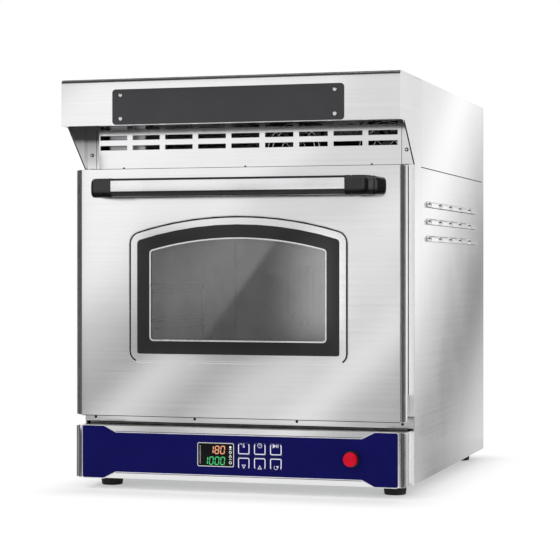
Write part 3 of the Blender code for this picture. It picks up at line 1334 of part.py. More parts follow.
def hinge_ear(name, side):
    """The body's half of a hinge: a base on the frame, an ear and the pin."""
    base_front = -GAP - EAR_BASE_THICKNESS
    steps = 2 * ARC_STEPS
    nose = [(HINGE_Y - EAR_RADIUS * math.sin(math.pi * step / steps),
             HINGE_Z + EAR_RADIUS * math.cos(math.pi * step / steps))
            for step in range(steps + 1)]
    loop = [*nose, (base_front + EAR_BASE_THICKNESS / 2, HINGE_Z - EAR_RADIUS),
            (base_front + EAR_BASE_THICKNESS / 2, HINGE_Z + EAR_RADIUS)]
    ear_x = side * EAR_X
    obj = outline(name, [loop], ALONG_X, (ear_x, 0, 0), EAR_THICKNESS)
    base = box(name + "_base", (ear_x - EAR_BASE_WIDTH / 2, base_front, HINGE_Z - EAR_BASE_DROP),
               (ear_x + EAR_BASE_WIDTH / 2, -GAP, HINGE_Z + EAR_BASE_RISE))
    pin_end = ear_x + side * (EAR_THICKNESS / 2 + ARM_GAP + ARM_THICKNESS + ARM_GAP)
    pin = rod(name + "_pin", (ear_x, HINGE_Y, HINGE_Z), (pin_end, HINGE_Y, HINGE_Z),
              PIN_RADIUS, steps=ROUND_STEPS)
    keep(join(obj, base, pin), "zinc_plate")


def hinge_arm(name, side):
    """The door's half of a hinge: a plate on the pin, screwed to the inner panel."""
    middle_x = side * (EAR_X + EAR_THICKNESS / 2 + ARM_GAP + ARM_THICKNESS / 2)
    back = -DOOR_BACK - SHEET - GAP
    flange_foot, top = HINGE_Z + ARM_FLANGE_RISE, HINGE_Z + ARM_RISE
    loop = rounded([
        (HINGE_Y - EAR_RADIUS, HINGE_Z - EAR_RADIUS, EAR_RADIUS / 2),
        (HINGE_Y + EAR_RADIUS, HINGE_Z - EAR_RADIUS, EAR_RADIUS / 2),
        (HINGE_Y + EAR_RADIUS, flange_foot, 0),
        (back, flange_foot, 0),
        (back, top, 0),
        (HINGE_Y - EAR_RADIUS, top, EAR_RADIUS / 2)])
    obj = outline(name, [loop], ALONG_X, (middle_x, 0, 0), ARM_THICKNESS, DOOR)
    near = side * (abs(middle_x) - ARM_THICKNESS / 4)
    far = side * (abs(middle_x) - ARM_FLANGE_WIDTH)
    flange = box(name + "_flange", (min(near, far), back - SHEET, flange_foot),
                 (max(near, far), back, top), DOOR)
    hole = rod(name + "_hole", (middle_x - OVERRUN, HINGE_Y, HINGE_Z),
               (middle_x + OVERRUN, HINGE_Y, HINGE_Z), PIN_RADIUS + PIN_CLEARANCE, DOOR,
               ROUND_STEPS)
    keep(cut(join(obj, flange), hole), "zinc_plate")


def control_box():
    """The folded box under the door, with openings for the display and the button."""
    half = BOX_WIDTH / 2
    obj = folded_box("control_box", (-half, -BOX_REACH, BOX_BOTTOM_Z), (half, -GAP, BOX_TOP_Z),
                     (BACK,), edge_radius=BOX_EDGE_RADIUS)
    reliefs = sides("box_side_reliefs", (half - SHEET - OVERRUN, half + OVERRUN),
                    (BOX_SIDE_DEPTH - BOX_REACH, BOX_BOTTOM_Z + SHEET),
                    (OVERRUN, BOX_TOP_Z - SHEET))
    body_half_x = DISPLAY_WIDTH / 2 - DISPLAY_BODY_INSET + GAP
    body_half_z = DISPLAY_HEIGHT / 2 - DISPLAY_BODY_INSET + GAP
    window = box("display_cutout",
                 (DISPLAY_X - body_half_x, -BOX_REACH - OVERRUN, DISPLAY_Z - body_half_z),
                 (DISPLAY_X + body_half_x, OVERRUN - BOX_REACH, DISPLAY_Z + body_half_z))
    hole = rod("button_hole", (BUTTON_X, -BOX_REACH - OVERRUN, BUTTON_Z),
               (BUTTON_X, OVERRUN - BOX_REACH, BUTTON_Z), COLLAR_NECK_RADIUS + GAP,
               steps=ROUND_STEPS)
    keep(cut(obj, reliefs, window, hole), "brushed_steel")


def key_places():
    """The middle of each key and its number, row by row."""
    number = 0
    for z in KEY_ROWS_Z:
        for column in range(KEY_COLUMNS):
            number += 1
            yield number, KEY_FIRST_X + column * KEY_PITCH_X, z


def control_film():
    """The printed film: full height at its ends, lower between them."""
    half = FILM_HALF
    low, high = BOX_BOTTOM_Z + FILM_EDGE, BOX_TOP_Z - FILM_EDGE
    right = [(FILM_STEP_OUTER_X, low, 0), (half, low, FILM_CORNER), (half, high, FILM_CORNER),
             (FILM_STEP_OUTER_X, high, 0), (FILM_STEP_INNER_X, high - FILM_STEP, 0)]
    left = [(-x, z, radius) for x, z, radius in reversed(right)]
    ends = [(-FILM_STEP_INNER_X, low + FILM_STEP, 0), (FILM_STEP_INNER_X, low + FILM_STEP, 0)]
    loops = [rounded([*ends, *right, *left])]
    half_w, half_h = DISPLAY_WIDTH / 2 + GAP, DISPLAY_HEIGHT / 2 + GAP
    loops.append(rectangle((DISPLAY_X - half_w, DISPLAY_Z - half_h),
                           (DISPLAY_X + half_w, DISPLAY_Z + half_h), DISPLAY_CORNER))
    for _, x, z in key_places():
        half_w, half_h = KEY_WIDTH / 2 + GAP, KEY_HEIGHT / 2 + GAP
        loops.append(rectangle((x - half_w, z - half_h), (x + half_w, z + half_h),
                               KEY_CORNER, 1))
    hole = COLLAR_NECK_RADIUS + GAP
    loops.append([(BUTTON_X + x, BUTTON_Z + z) for x, z in circle(hole)])
    obj = outline("control_film", loops, FACING_FRONT,
                  (0, FILM_BACK - FILM_THICKNESS / 2, 0), FILM_THICKNESS)
    keep(obj, "navy_film")


def display():
    """The display: a window flush in the film and its body behind the sheet."""
    half_w, half_h = DISPLAY_WIDTH / 2, DISPLAY_HEIGHT / 2
    loop = rectangle((DISPLAY_X - half_w, DISPLAY_Z - half_h),
                     (DISPLAY_X + half_w, DISPLAY_Z + half_h), DISPLAY_CORNER)
    thickness = FILM_THICKNESS + DISPLAY_RISE
    obj = outline("display", [loop], FACING_FRONT, (0, FILM_BACK - thickness / 2, 0), thickness)
    inset = DISPLAY_BODY_INSET
    body = box("display_body", (DISPLAY_X - half_w + inset, FILM_BACK - FILM_THICKNESS,
                                DISPLAY_Z - half_h + inset),
               (DISPLAY_X + half_w - inset, FILM_BACK + DISPLAY_BODY_DEPTH,
                DISPLAY_Z + half_h - inset))
    keep(join(obj, body), "display_black")


def keys():
    """Six membrane keys, each with its origin at its own middle."""
    loop = rectangle((-KEY_WIDTH / 2, -KEY_HEIGHT / 2), (KEY_WIDTH / 2, KEY_HEIGHT / 2),
                     KEY_CORNER, 1)
    back = -BOX_REACH - KEY_LIFT
    for number, x, z in key_places():
        obj = outline("key_" + str(number), [loop], FACING_FRONT, (0, -KEY_THICKNESS / 2, 0),
                      KEY_THICKNESS)
        obj.location = (x, back, z)
        keep(obj, "navy_film")


def push_button():
    """The red button on its stem, and the fixed collar it runs in."""
    front = FILM_BACK - FILM_THICKNESS - GAP
    rest = -COLLAR_HEIGHT - BUTTON_TRAVEL - BUTTON_STOP
    tip = rest - BUTTON_HEIGHT
    cap = [
        (0, rest + BUTTON_STEM),
        (BUTTON_STEM_RADIUS, rest + BUTTON_STEM),
        (BUTTON_STEM_RADIUS, rest),
        (BUTTON_RADIUS, rest),
        (BUTTON_RADIUS, tip + BUTTON_DOME),
        (BUTTON_RADIUS - BUTTON_DOME, tip),
        (BUTTON_DISH_RADIUS, tip),
        (0, tip + BUTTON_DISH),
    ]
    place = (BUTTON_X, front, BUTTON_Z)
    keep(turned("button_cap", cap, place, ABOUT_Y), "red_plastic")
    bore = COLLAR_BORE_RADIUS
    collar = [
        (bore, COLLAR_NECK),
        (COLLAR_NECK_RADIUS, COLLAR_NECK),
        (COLLAR_NECK_RADIUS, 0),
        (COLLAR_RADIUS, 0),
        (COLLAR_RADIUS, COLLAR_EDGE - COLLAR_HEIGHT),
        (COLLAR_RADIUS - COLLAR_EDGE, -COLLAR_HEIGHT),
        (bore, -COLLAR_HEIGHT),
        (bore, COLLAR_NECK),
    ]
    keep(turned("button_collar", collar, place, ABOUT_Y), "black_plastic")


def control_board():
    """The circuit board on four posts behind the front sheet, with its relays."""
    sheet_back = SHEET - BOX_REACH
    front = sheet_back + BOARD_SETBACK
    low_x, high_x = BOARD_X - BOARD_WIDTH / 2, BOARD_X + BOARD_WIDTH / 2
    low_z, high_z = BOX_MID_Z - BOARD_HEIGHT / 2, BOX_MID_Z + BOARD_HEIGHT / 2
    obj = box("control_board", (low_x, front, low_z), (high_x, front + BOARD_THICKNESS, high_z))
    others = []
    for x in (low_x + POST_INSET, high_x - POST_INSET):
        for z in (low_z + POST_INSET, high_z - POST_INSET):
            others.append(rod("board_post", (x, sheet_back + GAP, z),
                              (x, front + BOARD_THICKNESS / 2, z), POST_RADIUS))
    relays = []
    for index in range(RELAY_COUNT):
        x = BOARD_X + (index - (RELAY_COUNT - 1) / 2) * RELAY_PITCH
        relays.append(((x - RELAY_WIDTH / 2, front + BOARD_THICKNESS / 2, BOX_MID_Z - RELAY_HEIGHT / 2),
                       (x + RELAY_WIDTH / 2, front + BOARD_THICKNESS + RELAY_DEPTH,
                        BOX_MID_Z + RELAY_HEIGHT / 2)))
    others.append(many_boxes("relays", relays))
    keep(join(obj, *others), "circuit_board")


def guard_gap(inner, outer, quarter):
    """The open space between two guard rings and two of the diagonal bars."""
    points = []
    for radius, backward in ((inner + GUARD_WIRE, False), (outer - GUARD_WIRE, True)):
        clear = math.asin(GUARD_WIRE / radius)
        start = math.pi / 4 + quarter * math.pi / 2 + clear
        sweep = math.pi / 2 - 2 * clear
        arc = [(radius * math.cos(start + sweep * step / GUARD_STEPS),
                radius * math.sin(start + sweep * step / GUARD_STEPS))
               for step in range(GUARD_STEPS + 1)]
        points.extend(reversed(arc) if backward else arc)
    return points


def fan_guard(name, x):
    """The wire guard in one piece: rings and diagonal bars, let into the frame's front."""
    loops = [circle(GUARD_RINGS[-1] + GUARD_WIRE)]
    for inner, outer in zip(GUARD_RINGS, GUARD_RINGS[1:]):
        loops.extend(guard_gap(inner, outer, quarter) for quarter in range(4))
    place = (x, FAN_FRONT_Y + GUARD_SINK - GUARD_WIRE, FAN_Z)
    return outline(name, loops, FACING_FRONT, place, 2 * GUARD_WIRE)


def cooling_fan(name, x):
    """A cooling fan's frame with its spokes, foot and wire guard."""
    back_y = FAN_FRONT_Y + FAN_DEPTH
    obj = box(name, (x - FAN_HALF, FAN_FRONT_Y, FAN_Z - FAN_HALF),
              (x + FAN_HALF, back_y, FAN_Z + FAN_HALF))
    bore = rod(name + "_bore", (x, FAN_FRONT_Y - OVERRUN, FAN_Z), (x, back_y + OVERRUN, FAN_Z),
               FAN_BORE_RADIUS, steps=ROUND_STEPS)
    spoke_front = back_y - FAN_SPOKE_DEPTH
    reach = FAN_BORE_RADIUS + OVERRUN / 2
    across = box(name + "_spoke_x", (x - reach, spoke_front, FAN_Z - FAN_SPOKE / 2),
                 (x + reach, back_y - GAP, FAN_Z + FAN_SPOKE / 2))
    upright = box(name + "_spoke_z", (x - FAN_SPOKE / 2, spoke_front - GAP, FAN_Z - reach),
                  (x + FAN_SPOKE / 2, back_y - 2 * GAP, FAN_Z + reach))
    disc = rod(name + "_disc", (x, spoke_front - 2 * GAP, FAN_Z), (x, back_y, FAN_Z),
               FAN_HUB_RADIUS, steps=ROUND_STEPS)
    foot = box(name + "_foot", (x - FAN_FOOT_WIDTH / 2, FAN_FRONT_Y + FAN_SPOKE, DECK_Z + GAP),
               (x + FAN_FOOT_WIDTH / 2, back_y - FAN_SPOKE, FAN_Z - FAN_HALF + OVERRUN / 4))
    guard = fan_guard(name + "_guard", x)
    keep(join(cut(obj, bore), across, upright, disc, foot, guard), "black_plastic")


def fan_rotor(name, x):
    """A cooling fan's hub and pitched blades."""
    back = FAN_FRONT_Y + FAN_DEPTH - FAN_SPOKE_DEPTH - 3 * GAP
    front = back - FAN_ROTOR_DEPTH
    middle = (front + back) / 2
    half = FAN_ROTOR_DEPTH / 2
    profile = [(0, half), (FAN_HUB_RADIUS, half), (FAN_HUB_RADIUS, -half), (0, -half)]
    obj = turned(name, profile, (x, middle, FAN_Z), ABOUT_Y)
    bm = bmesh.new()
    root = FAN_HUB_RADIUS - FAN_BLADE_THICKNESS
    size = Matrix.Diagonal((FAN_BLADE_TIP - root, FAN_BLADE_THICKNESS, FAN_BLADE_CHORD, 1))
    for index in range(FAN_BLADES):
        spin = Matrix.Rotation(2 * math.pi * index / FAN_BLADES, 4, "Y")
        pitch = Matrix.Rotation(FAN_BLADE_PITCH, 4, "X")
        out = Matrix.Translation(((FAN_BLADE_TIP + root) / 2, 0, 0))
        bmesh.ops.create_cube(bm, size=1, matrix=spin @ out @ pitch @ size)
    blades = mesh_object(name + "_blades", bm, BODY, (x, middle, FAN_Z))
    keep(join(obj, blades), "black_plastic")


def power_box():
    """The folded cover over the mains terminals, seen through the left slots."""
    low = (POWER_LEFT_X, POWER_FRONT_Y, DECK_Z + GAP)
    high = (POWER_LEFT_X + POWER_WIDTH, POWER_FRONT_Y + POWER_DEPTH, DECK_Z + GAP + POWER_HEIGHT)
    obj = folded_box("power_box", low, high, (BACK,), edge_radius=POWER_LIP / 2)
    lip = box("power_lip", (low[0] - POWER_LIP, low[1] + POWER_LIP, low[2]),
              (low[0] + SHEET / 2, high[1] - POWER_LIP, low[2] + SHEET))
    keep(join(obj, lip), "zinc_plate")


def build_oven():
    front_frame()
    base_pan()
    partition_deck()
    side_panel("side_panel_left", -1)
    side_panel("side_panel_right", 1)
    top_cover()
    rear_panel()
    cable_gland()
    feet()
    visor_hood()
    nameplate()
    vent_grille()
    lower_rail()
    mouth_seal()
    cavity_liner()
    insulation_jacket()
    baking_stone()
    rack_guide("rack_guide_left", -1)
    rack_guide("rack_guide_right", 1)
    heater("lower_heater", HEATER_LOW_Z)
    heater("upper_heater", HEATER_HIGH_Z)
    fan_baffle()
    hot_air_fan()
    fan_motor()
    chamber_lamp()
    temperature_probe()
    door_outer_skin()
    door_inner_panel()
    door_glazing()
    handle_bar()
    handle_bracket("handle_bracket_left", -1)
    handle_bracket("handle_bracket_right", 1)
    for name, side in (("left", -1), ("right", 1)):
        hinge_ear("hinge_ear_" + name, side)
        hinge_arm("hinge_arm_" + name, side)
    control_box()
    control_film()
    display()
    keys()
    push_button()
    control_board()
    for number, x in enumerate(FAN_XS, 1):
        cooling_fan("cooling_fan_" + str(number), x)
        fan_rotor("cooling_rotor_" + str(number), x)
    power_box()


build_oven()
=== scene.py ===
# %% [markdown]
# # A countertop pizza oven
# The shapes come from the CAD frame, which holds every solid at its real place. This
# lesson dresses that frame: it gives each node a finish made of shader nodes, and adds
# the fine pieces that are too small or too smooth for a light CAD mesh. All lengths are
# in metres, X runs right, Y runs back and Z runs up.

import math

import bmesh
import bpy
import numpy as np
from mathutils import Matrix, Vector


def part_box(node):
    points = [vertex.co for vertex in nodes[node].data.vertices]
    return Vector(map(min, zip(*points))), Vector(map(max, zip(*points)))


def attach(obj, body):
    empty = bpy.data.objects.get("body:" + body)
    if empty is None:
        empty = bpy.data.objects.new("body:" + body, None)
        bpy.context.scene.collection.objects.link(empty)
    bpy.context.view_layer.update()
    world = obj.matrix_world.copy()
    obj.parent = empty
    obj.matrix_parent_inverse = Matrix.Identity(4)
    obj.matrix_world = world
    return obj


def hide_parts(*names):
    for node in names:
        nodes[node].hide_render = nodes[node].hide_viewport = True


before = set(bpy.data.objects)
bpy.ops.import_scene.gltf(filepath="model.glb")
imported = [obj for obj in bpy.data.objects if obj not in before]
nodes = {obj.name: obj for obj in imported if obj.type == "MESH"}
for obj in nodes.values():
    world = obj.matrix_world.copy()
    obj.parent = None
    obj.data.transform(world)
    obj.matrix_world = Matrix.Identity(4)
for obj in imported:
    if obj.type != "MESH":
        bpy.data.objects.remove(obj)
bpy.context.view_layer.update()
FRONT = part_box("front_frame")[0].y
MM = 0.001
print("nodes:", len(nodes), "body front plane at y =", round(FRONT, 4))

# %% [markdown]
# ## The camera
# A camera that stays level keeps upright edges upright, as in a product photograph. To
# see more floor than ceiling it isn't tilted: its picture is shifted, as a view camera
# does. The place and the lens come from fitting the oven's long straight edges.

# %% Camera
CAMERA_PLACE = (0.96236, FRONT - 3.02484, 0.3891)
CAMERA_TURN = math.radians(16.57)

camera_data = bpy.data.cameras.new("camera")
camera_data.sensor_width = 36
camera_data.lens = 117.2
camera_data.shift_y = -0.0228
camera = bpy.data.objects.new("camera", camera_data)
camera.location = CAMERA_PLACE
camera.rotation_euler = (math.pi / 2, 0, CAMERA_TURN)
bpy.context.scene.collection.objects.link(camera)
bpy.context.scene.camera = camera
bpy.context.scene.view_settings.view_transform = "Standard"
print("camera", round((camera.location.xy).length, 2), "m away")

# %% [markdown]
# ## Small helpers for shader nodes
# A material is a graph. Small helpers keep that graph readable in code: one adds a node
# with its options and wires its inputs, others give the results of the nodes that come
# back most, and one starts a group with named sockets. A group is drawn once and placed
# in many materials, each time with its own values.

# %% Node helpers
def add(tree, kind, inputs=(), **options):
    """A new node. Each input is a plain value, or a socket to link from."""
    made = tree.nodes.new(kind)
    for key, value in options.items():
        setattr(made, key, value)
    for key, value in dict(inputs).items():
        if isinstance(value, bpy.types.NodeSocket):
            tree.links.new(value, made.inputs[key])
        else:
            made.inputs[key].default_value = value
    return made


def reckon(tree, operation, first, second):
    """What a Math node makes of two numbers."""
    return add(tree, "ShaderNodeMath", {0: first, 1: second}, operation=operation).outputs[0]


def between(tree, share, first, second):
    """A number between two: the first where the share is 0, the second where it is 1."""
    return add(tree, "ShaderNodeMix", {"Factor": share, 2: first, 3: second}).outputs[0]


def blend(tree, share, first, second, **options):
    """A colour between two, as the numbers above."""
    return add(tree, "ShaderNodeMix", {"Factor": share, 6: first, 7: second},
               data_type="RGBA", **options).outputs[2]


def remap(tree, value, start, end, low=0.0, high=1.0, soft=False):
    """low where the value is at start, high where it is at end, and held beyond both."""
    return add(tree, "ShaderNodeMapRange", {"Value": value, "From Min": start, "From Max": end,
                                            "To Min": low, "To Max": high},
               interpolation_type="SMOOTHSTEP" if soft else "LINEAR").outputs[0]


def noise(tree, place, scale, detail, roughness=0.5, distortion=0.0):
    """The value of a noise at a place."""
    return add(tree, "ShaderNodeTexNoise", {"Vector": place, "Scale": scale, "Detail": detail,
                                            "Roughness": roughness, "Distortion": distortion}
               ).outputs["Fac"]


def start_group(name, inputs, outputs):
    """An empty shader group with named inputs (kind, value) and outputs (kind)."""
    tree = bpy.data.node_groups.new(name, "ShaderNodeTree")
    for label, (kind, value) in inputs.items():
        socket = tree.interface.new_socket(label, in_out="INPUT", socket_type="NodeSocket" + kind)
        socket.default_value = value
    for label, kind in outputs.items():
        tree.interface.new_socket(label, in_out="OUTPUT", socket_type="NodeSocket" + kind)
    print("shader group:", name)
    return tree, tree.nodes.new("NodeGroupInput").outputs, tree.nodes.new("NodeGroupOutput").inputs


def place_group(tree, group, inputs=()):
    """The outputs of a group's node in a tree."""
    return add(tree, "ShaderNodeGroup", inputs, node_tree=group).outputs


# %% [markdown]
# ## Brushed grain
# Brushed steel has been rubbed with an abrasive belt in one direction. Its marks are long
# along the belt and very thin across it, so a noise is stretched: the coordinates are
# multiplied by a small number along the grain and by a large one across it. Two sizes are
# mixed, because a sheet has hair lines and also broader, softer bands.

# %% Brushed grain group
PLACE = ("Vector", (0, 0, 0))


def brushed_grain_group():
    """Two noises of stretched coordinates, as a value for colour and a height."""
    tree, given, out = start_group("brushed_grain", {"Vector": PLACE, "Stretch": ("Vector", (6, 6, 900))},
                                   {"Value": "Float", "Height": "Float"})
    stretched = add(tree, "ShaderNodeVectorMath", {0: given["Vector"], 1: given["Stretch"]},
                    operation="MULTIPLY").outputs[0]
    hair = noise(tree, stretched, scale=1.0, detail=5.0, roughness=0.72)
    wide = noise(tree, stretched, scale=0.24, detail=3.0, roughness=0.6)
    tree.links.new(remap(tree, between(tree, 0.45, hair, wide), 0.34, 0.66), out["Value"])
    tree.links.new(hair, out["Height"])
    return tree


GRAIN = brushed_grain_group()

# %% [markdown]
# ## Soft clouds
# No large surface is even. Handling, wiping and slight waves in the sheet change its
# shine over a hand's width. A low noise with little detail gives such clouds, and each
# material says how large they are.

# %% Soft clouds group
def soft_clouds_group():
    """One low noise, whose clouds are about as large as the size that is given."""
    tree, given, out = start_group("soft_clouds", {"Vector": PLACE, "Size": ("Float", 0.1)},
                                   {"Value": "Float"})
    scale = reckon(tree, "DIVIDE", 1.0, given["Size"])
    cloud = noise(tree, given["Vector"], scale, detail=2.5, roughness=0.55, distortion=0.4)
    tree.links.new(remap(tree, cloud, 0.32, 0.68, soft=True), out["Value"])
    return tree


CLOUDS = soft_clouds_group()

# %% [markdown]
# ## Grit
# Cast, moulded and pressed stuff is grainy in all directions alike. Cells give the grains
# of the stone and, larger, the wool of the board, and a fine noise between them gives the
# etched skin of moulded plastic. The group returns a value for colour and a height.

# %% Grit group
def grit_group():
    """Half cells, half noise for the colour; the noise less the cells' domes for the height."""
    tree, given, out = start_group("grit", {"Vector": PLACE, "Size": ("Float", 0.002)},
                                   {"Value": "Float", "Height": "Float"})
    scale = reckon(tree, "DIVIDE", 1.0, given["Size"])
    cells = add(tree, "ShaderNodeTexVoronoi", {"Vector": given["Vector"], "Scale": scale,
                                               "Randomness": 1.0}, feature="F1")
    fine = noise(tree, given["Vector"], scale, detail=4.0, roughness=0.65)
    speck = add(tree, "ShaderNodeSeparateColor", {0: cells.outputs["Color"]}).outputs[0]
    tree.links.new(between(tree, 0.5, speck, fine), out["Value"])
    tree.links.new(reckon(tree, "SUBTRACT", fine, cells.outputs["Distance"]), out["Height"])
    return tree


GRIT = grit_group()

# %% [markdown]
# ## Edge wear
# Hands, cloths and the folding press polish a sheet's edges. The Bevel node finds them:
# it returns the normal that a rounded edge would have, and where that normal leaves the
# true one there is an edge. The group gives that mask, broken up by noise, and also the
# rounded normal, so that no edge looks like a paper cut.

# %% Edge wear group
def edge_wear_group():
    """1 on an edge, where the rounded and the true normal part, broken up by a noise."""
    tree, given, out = start_group("edge_wear", {"Vector": PLACE, "Radius": ("Float", 0.0005)},
                                   {"Edge": "Float", "Normal": "Vector"})
    rounded_edge = add(tree, "ShaderNodeBevel", {"Radius": given["Radius"]}, samples=6).outputs[0]
    true_normal = add(tree, "ShaderNodeNewGeometry").outputs["Normal"]
    likeness = add(tree, "ShaderNodeVectorMath", {0: rounded_edge, 1: true_normal},
                   operation="DOT_PRODUCT").outputs["Value"]
    found = remap(tree, likeness, 0.99, 0.80)
    patches = noise(tree, given["Vector"], scale=60.0, detail=3.0)
    tree.links.new(reckon(tree, "MULTIPLY", found, patches), out["Edge"])
    tree.links.new(rounded_edge, out["Normal"])
    return tree


WEAR = edge_wear_group()

# %% [markdown]
# ## One recipe for every finish
# All finishes are built the same way, which keeps them comparable: a pattern moves the
# colour between a dark and a light tone and the roughness between two values, soft clouds
# do the same on a larger scale, and worn edges take a third tone. Only the pattern, the
# tones and the numbers differ from one stuff to the next.

# %% The recipe
FINISHES = {}


def start_material(name, empty=False):
    """A material, its graph, and the object's own coordinates in that graph."""
    material = bpy.data.materials.new(name)
    material.use_nodes = True
    tree = material.node_tree
    if empty:
        tree.nodes.clear()
    return material, tree, add(tree, "ShaderNodeTexCoord").outputs["Object"]


def keep_finish(name, slot, material, tone, amount, roughness, light, **sockets):
    """Wires a tone and a roughness to the shader, sets its plain values, and keeps it."""
    tree = material.node_tree
    shader = tree.nodes["Principled BSDF"]
    tree.links.new(tone, shader.inputs["Base Color"])
    tree.links.new(remap(tree, amount, 0, 1, *roughness), shader.inputs["Roughness"])
    for key, value in sockets.items():
        shader.inputs[key.replace("_", " ")].default_value = value
    material.diffuse_color = (*light, 1)
    FINISHES[name] = material
    print("finish:", name)
    return material


def finish(name, dark, light, roughness, pattern, metallic=0.0, relief=0.0, worn=None,
           clouds=0.12, cloud_share=0.4, edge=0.0005, slot=None, **sockets):
    """A material: pattern is (group, its own inputs), relief the height of its bumps."""
    material, tree, spot = start_material(name)
    group, values = pattern
    marks = place_group(tree, group, {"Vector": spot, **values})
    cloud = place_group(tree, CLOUDS, {"Vector": spot, "Size": clouds})["Value"]
    edges = place_group(tree, WEAR, {"Vector": spot, "Radius": edge})
    amount = between(tree, cloud_share, marks["Value"], cloud)
    tone = blend(tree, amount, (*dark, 1), (*light, 1))
    tone = blend(tree, edges["Edge"], tone, (*(worn or light), 1))
    bump = add(tree, "ShaderNodeBump", {"Height": marks["Height"], "Distance": relief,
                                        "Strength": 1.0, "Normal": edges["Normal"]}).outputs[0]
    tree.links.new(bump, tree.nodes["Principled BSDF"].inputs["Normal"])
    return keep_finish(name, slot or name, material, tone, amount, roughness, light,
                       Metallic=metallic, **sockets)


# %% [markdown]
# ## The steels
# The body, the hood and the door are brushed level, so their grain is thin in Z. The roof
# is brushed from front to back, so its grain is thin in X. The chamber is a duller sheet
# that heat has tinted, and the hidden sheets are zinc plated, with a soft spangle.

# %% Steel finishes
LEVEL_GRAIN = (GRAIN, {"Stretch": (7, 7, 1100)})
ROOF_GRAIN = (GRAIN, {"Stretch": (1100, 7, 7)})


def grit(size):
    """The grit pattern with grains of this size in millimetres."""
    return GRIT, {"Size": size * MM}


finish("brushed_steel", (0.75, 0.75, 0.755), (0.84, 0.84, 0.845), (0.10, 0.17), LEVEL_GRAIN,
       metallic=1.0, relief=0.00002, worn=(0.95, 0.95, 0.95), clouds=0.16)
# painted sheen: a pale, nearly matt tone that stands in for the steel's bright reflection
finish("pale_steel_painted_sheen", (0.86, 0.86, 0.865), (0.92, 0.92, 0.925), (0.36, 0.46), LEVEL_GRAIN,
       metallic=0.05, relief=0.00001, clouds=0.16, slot="brushed_steel")
finish("roof_steel", (0.75, 0.75, 0.755), (0.84, 0.84, 0.845), (0.10, 0.17), ROOF_GRAIN,
       metallic=1.0, relief=0.00002, worn=(0.95, 0.95, 0.95), clouds=0.16, slot="brushed_steel")
finish("liner_steel", (0.52, 0.515, 0.51), (0.70, 0.69, 0.68), (0.28, 0.44), LEVEL_GRAIN,
       metallic=1.0, relief=0.00002, worn=(0.62, 0.61, 0.60), clouds=0.09, cloud_share=0.6)
finish("zinc_plate", (0.44, 0.45, 0.46), (0.66, 0.67, 0.68), (0.34, 0.50),
       grit(12), metallic=1.0, relief=0.00002, clouds=0.05)
finish("aluminium", (0.70, 0.70, 0.71), (0.86, 0.86, 0.87), (0.20, 0.32),
       (GRAIN, {"Stretch": (7, 900, 900)}), metallic=1.0, relief=0.00001,
       worn=(0.95, 0.95, 0.95), clouds=0.08)
finish("chrome_wire", (0.60, 0.60, 0.61), (0.80, 0.80, 0.80), (0.12, 0.24),
       grit(4), metallic=1.0, relief=0.00001, clouds=0.03)
finish("heater_sheath", (0.10, 0.095, 0.09), (0.22, 0.20, 0.18), (0.45, 0.65),
       grit(1.2), metallic=0.8, relief=0.00004, clouds=0.04)
finish("silver_print", (0.66, 0.66, 0.68), (0.86, 0.86, 0.88), (0.22, 0.34),
       grit(0.8), metallic=0.9, relief=0.000005, clouds=0.05)

# %% [markdown]
# ## Plastics, rubber, enamel and print
# These aren't metal: their colour is their own and their shine is a thin skin. Moulded
# plastic has an etched skin that is a little rough, rubber is dull and dusty, and the
# enamel on the glass is smooth. The film over the keys has a fine orange-peel texture.

# %% Plastic and print finishes
finish("dark_plate", (0.026, 0.026, 0.028), (0.040, 0.040, 0.043), (0.42, 0.55),
       grit(0.6), relief=0.00002, worn=(0.12, 0.12, 0.125), Specular_IOR_Level=0.25)
finish("black_plastic", (0.005, 0.005, 0.006), (0.011, 0.011, 0.012), (0.14, 0.24),
       grit(0.5), relief=0.00001, worn=(0.03, 0.03, 0.03), clouds=0.04,
       Specular_IOR_Level=0.3)
moulded = finish("moulded_black", (0.002, 0.002, 0.0025), (0.005, 0.005, 0.0055), (0.22, 0.32),
                 grit(0.5), relief=0.00001, worn=(0.03, 0.03, 0.03), clouds=0.04,
                 slot="black_plastic", Specular_IOR_Level=0.05)
finish("rubber", (0.012, 0.012, 0.012), (0.030, 0.030, 0.030), (0.70, 0.88),
       grit(0.9), relief=0.00005, worn=(0.05, 0.05, 0.05), clouds=0.02,
       Specular_IOR_Level=0.15)
finish("black_enamel", (0.014, 0.014, 0.015), (0.020, 0.020, 0.021), (0.08, 0.14),
       grit(0.8), relief=0.000003, clouds=0.10, Specular_IOR_Level=0.25)
finish("navy_film", (0.0025, 0.0025, 0.068), (0.0050, 0.0050, 0.092), (0.28, 0.40),
       grit(0.7), relief=0.00001, worn=(0.02, 0.02, 0.14), clouds=0.08,
       Specular_IOR_Level=0.05)
finish("display_black", (0.002, 0.002, 0.002), (0.005, 0.005, 0.006), (0.06, 0.14),
       grit(1.5), relief=0.000002, clouds=0.02, Specular_IOR_Level=0.10)
finish("red_plastic", (0.46, 0.0, 0.012), (0.66, 0.002, 0.026), (0.22, 0.34),
       grit(0.6), relief=0.00001, worn=(0.80, 0.03, 0.05), clouds=0.012,
       Specular_IOR_Level=0.12)
finish("seal_grey", (0.13, 0.13, 0.125), (0.27, 0.27, 0.255), (0.75, 0.92),
       grit(1.4), relief=0.0003, clouds=0.03)
finish("circuit_board", (0.012, 0.11, 0.04), (0.03, 0.20, 0.08), (0.35, 0.5),
       grit(3), relief=0.00002, clouds=0.02)
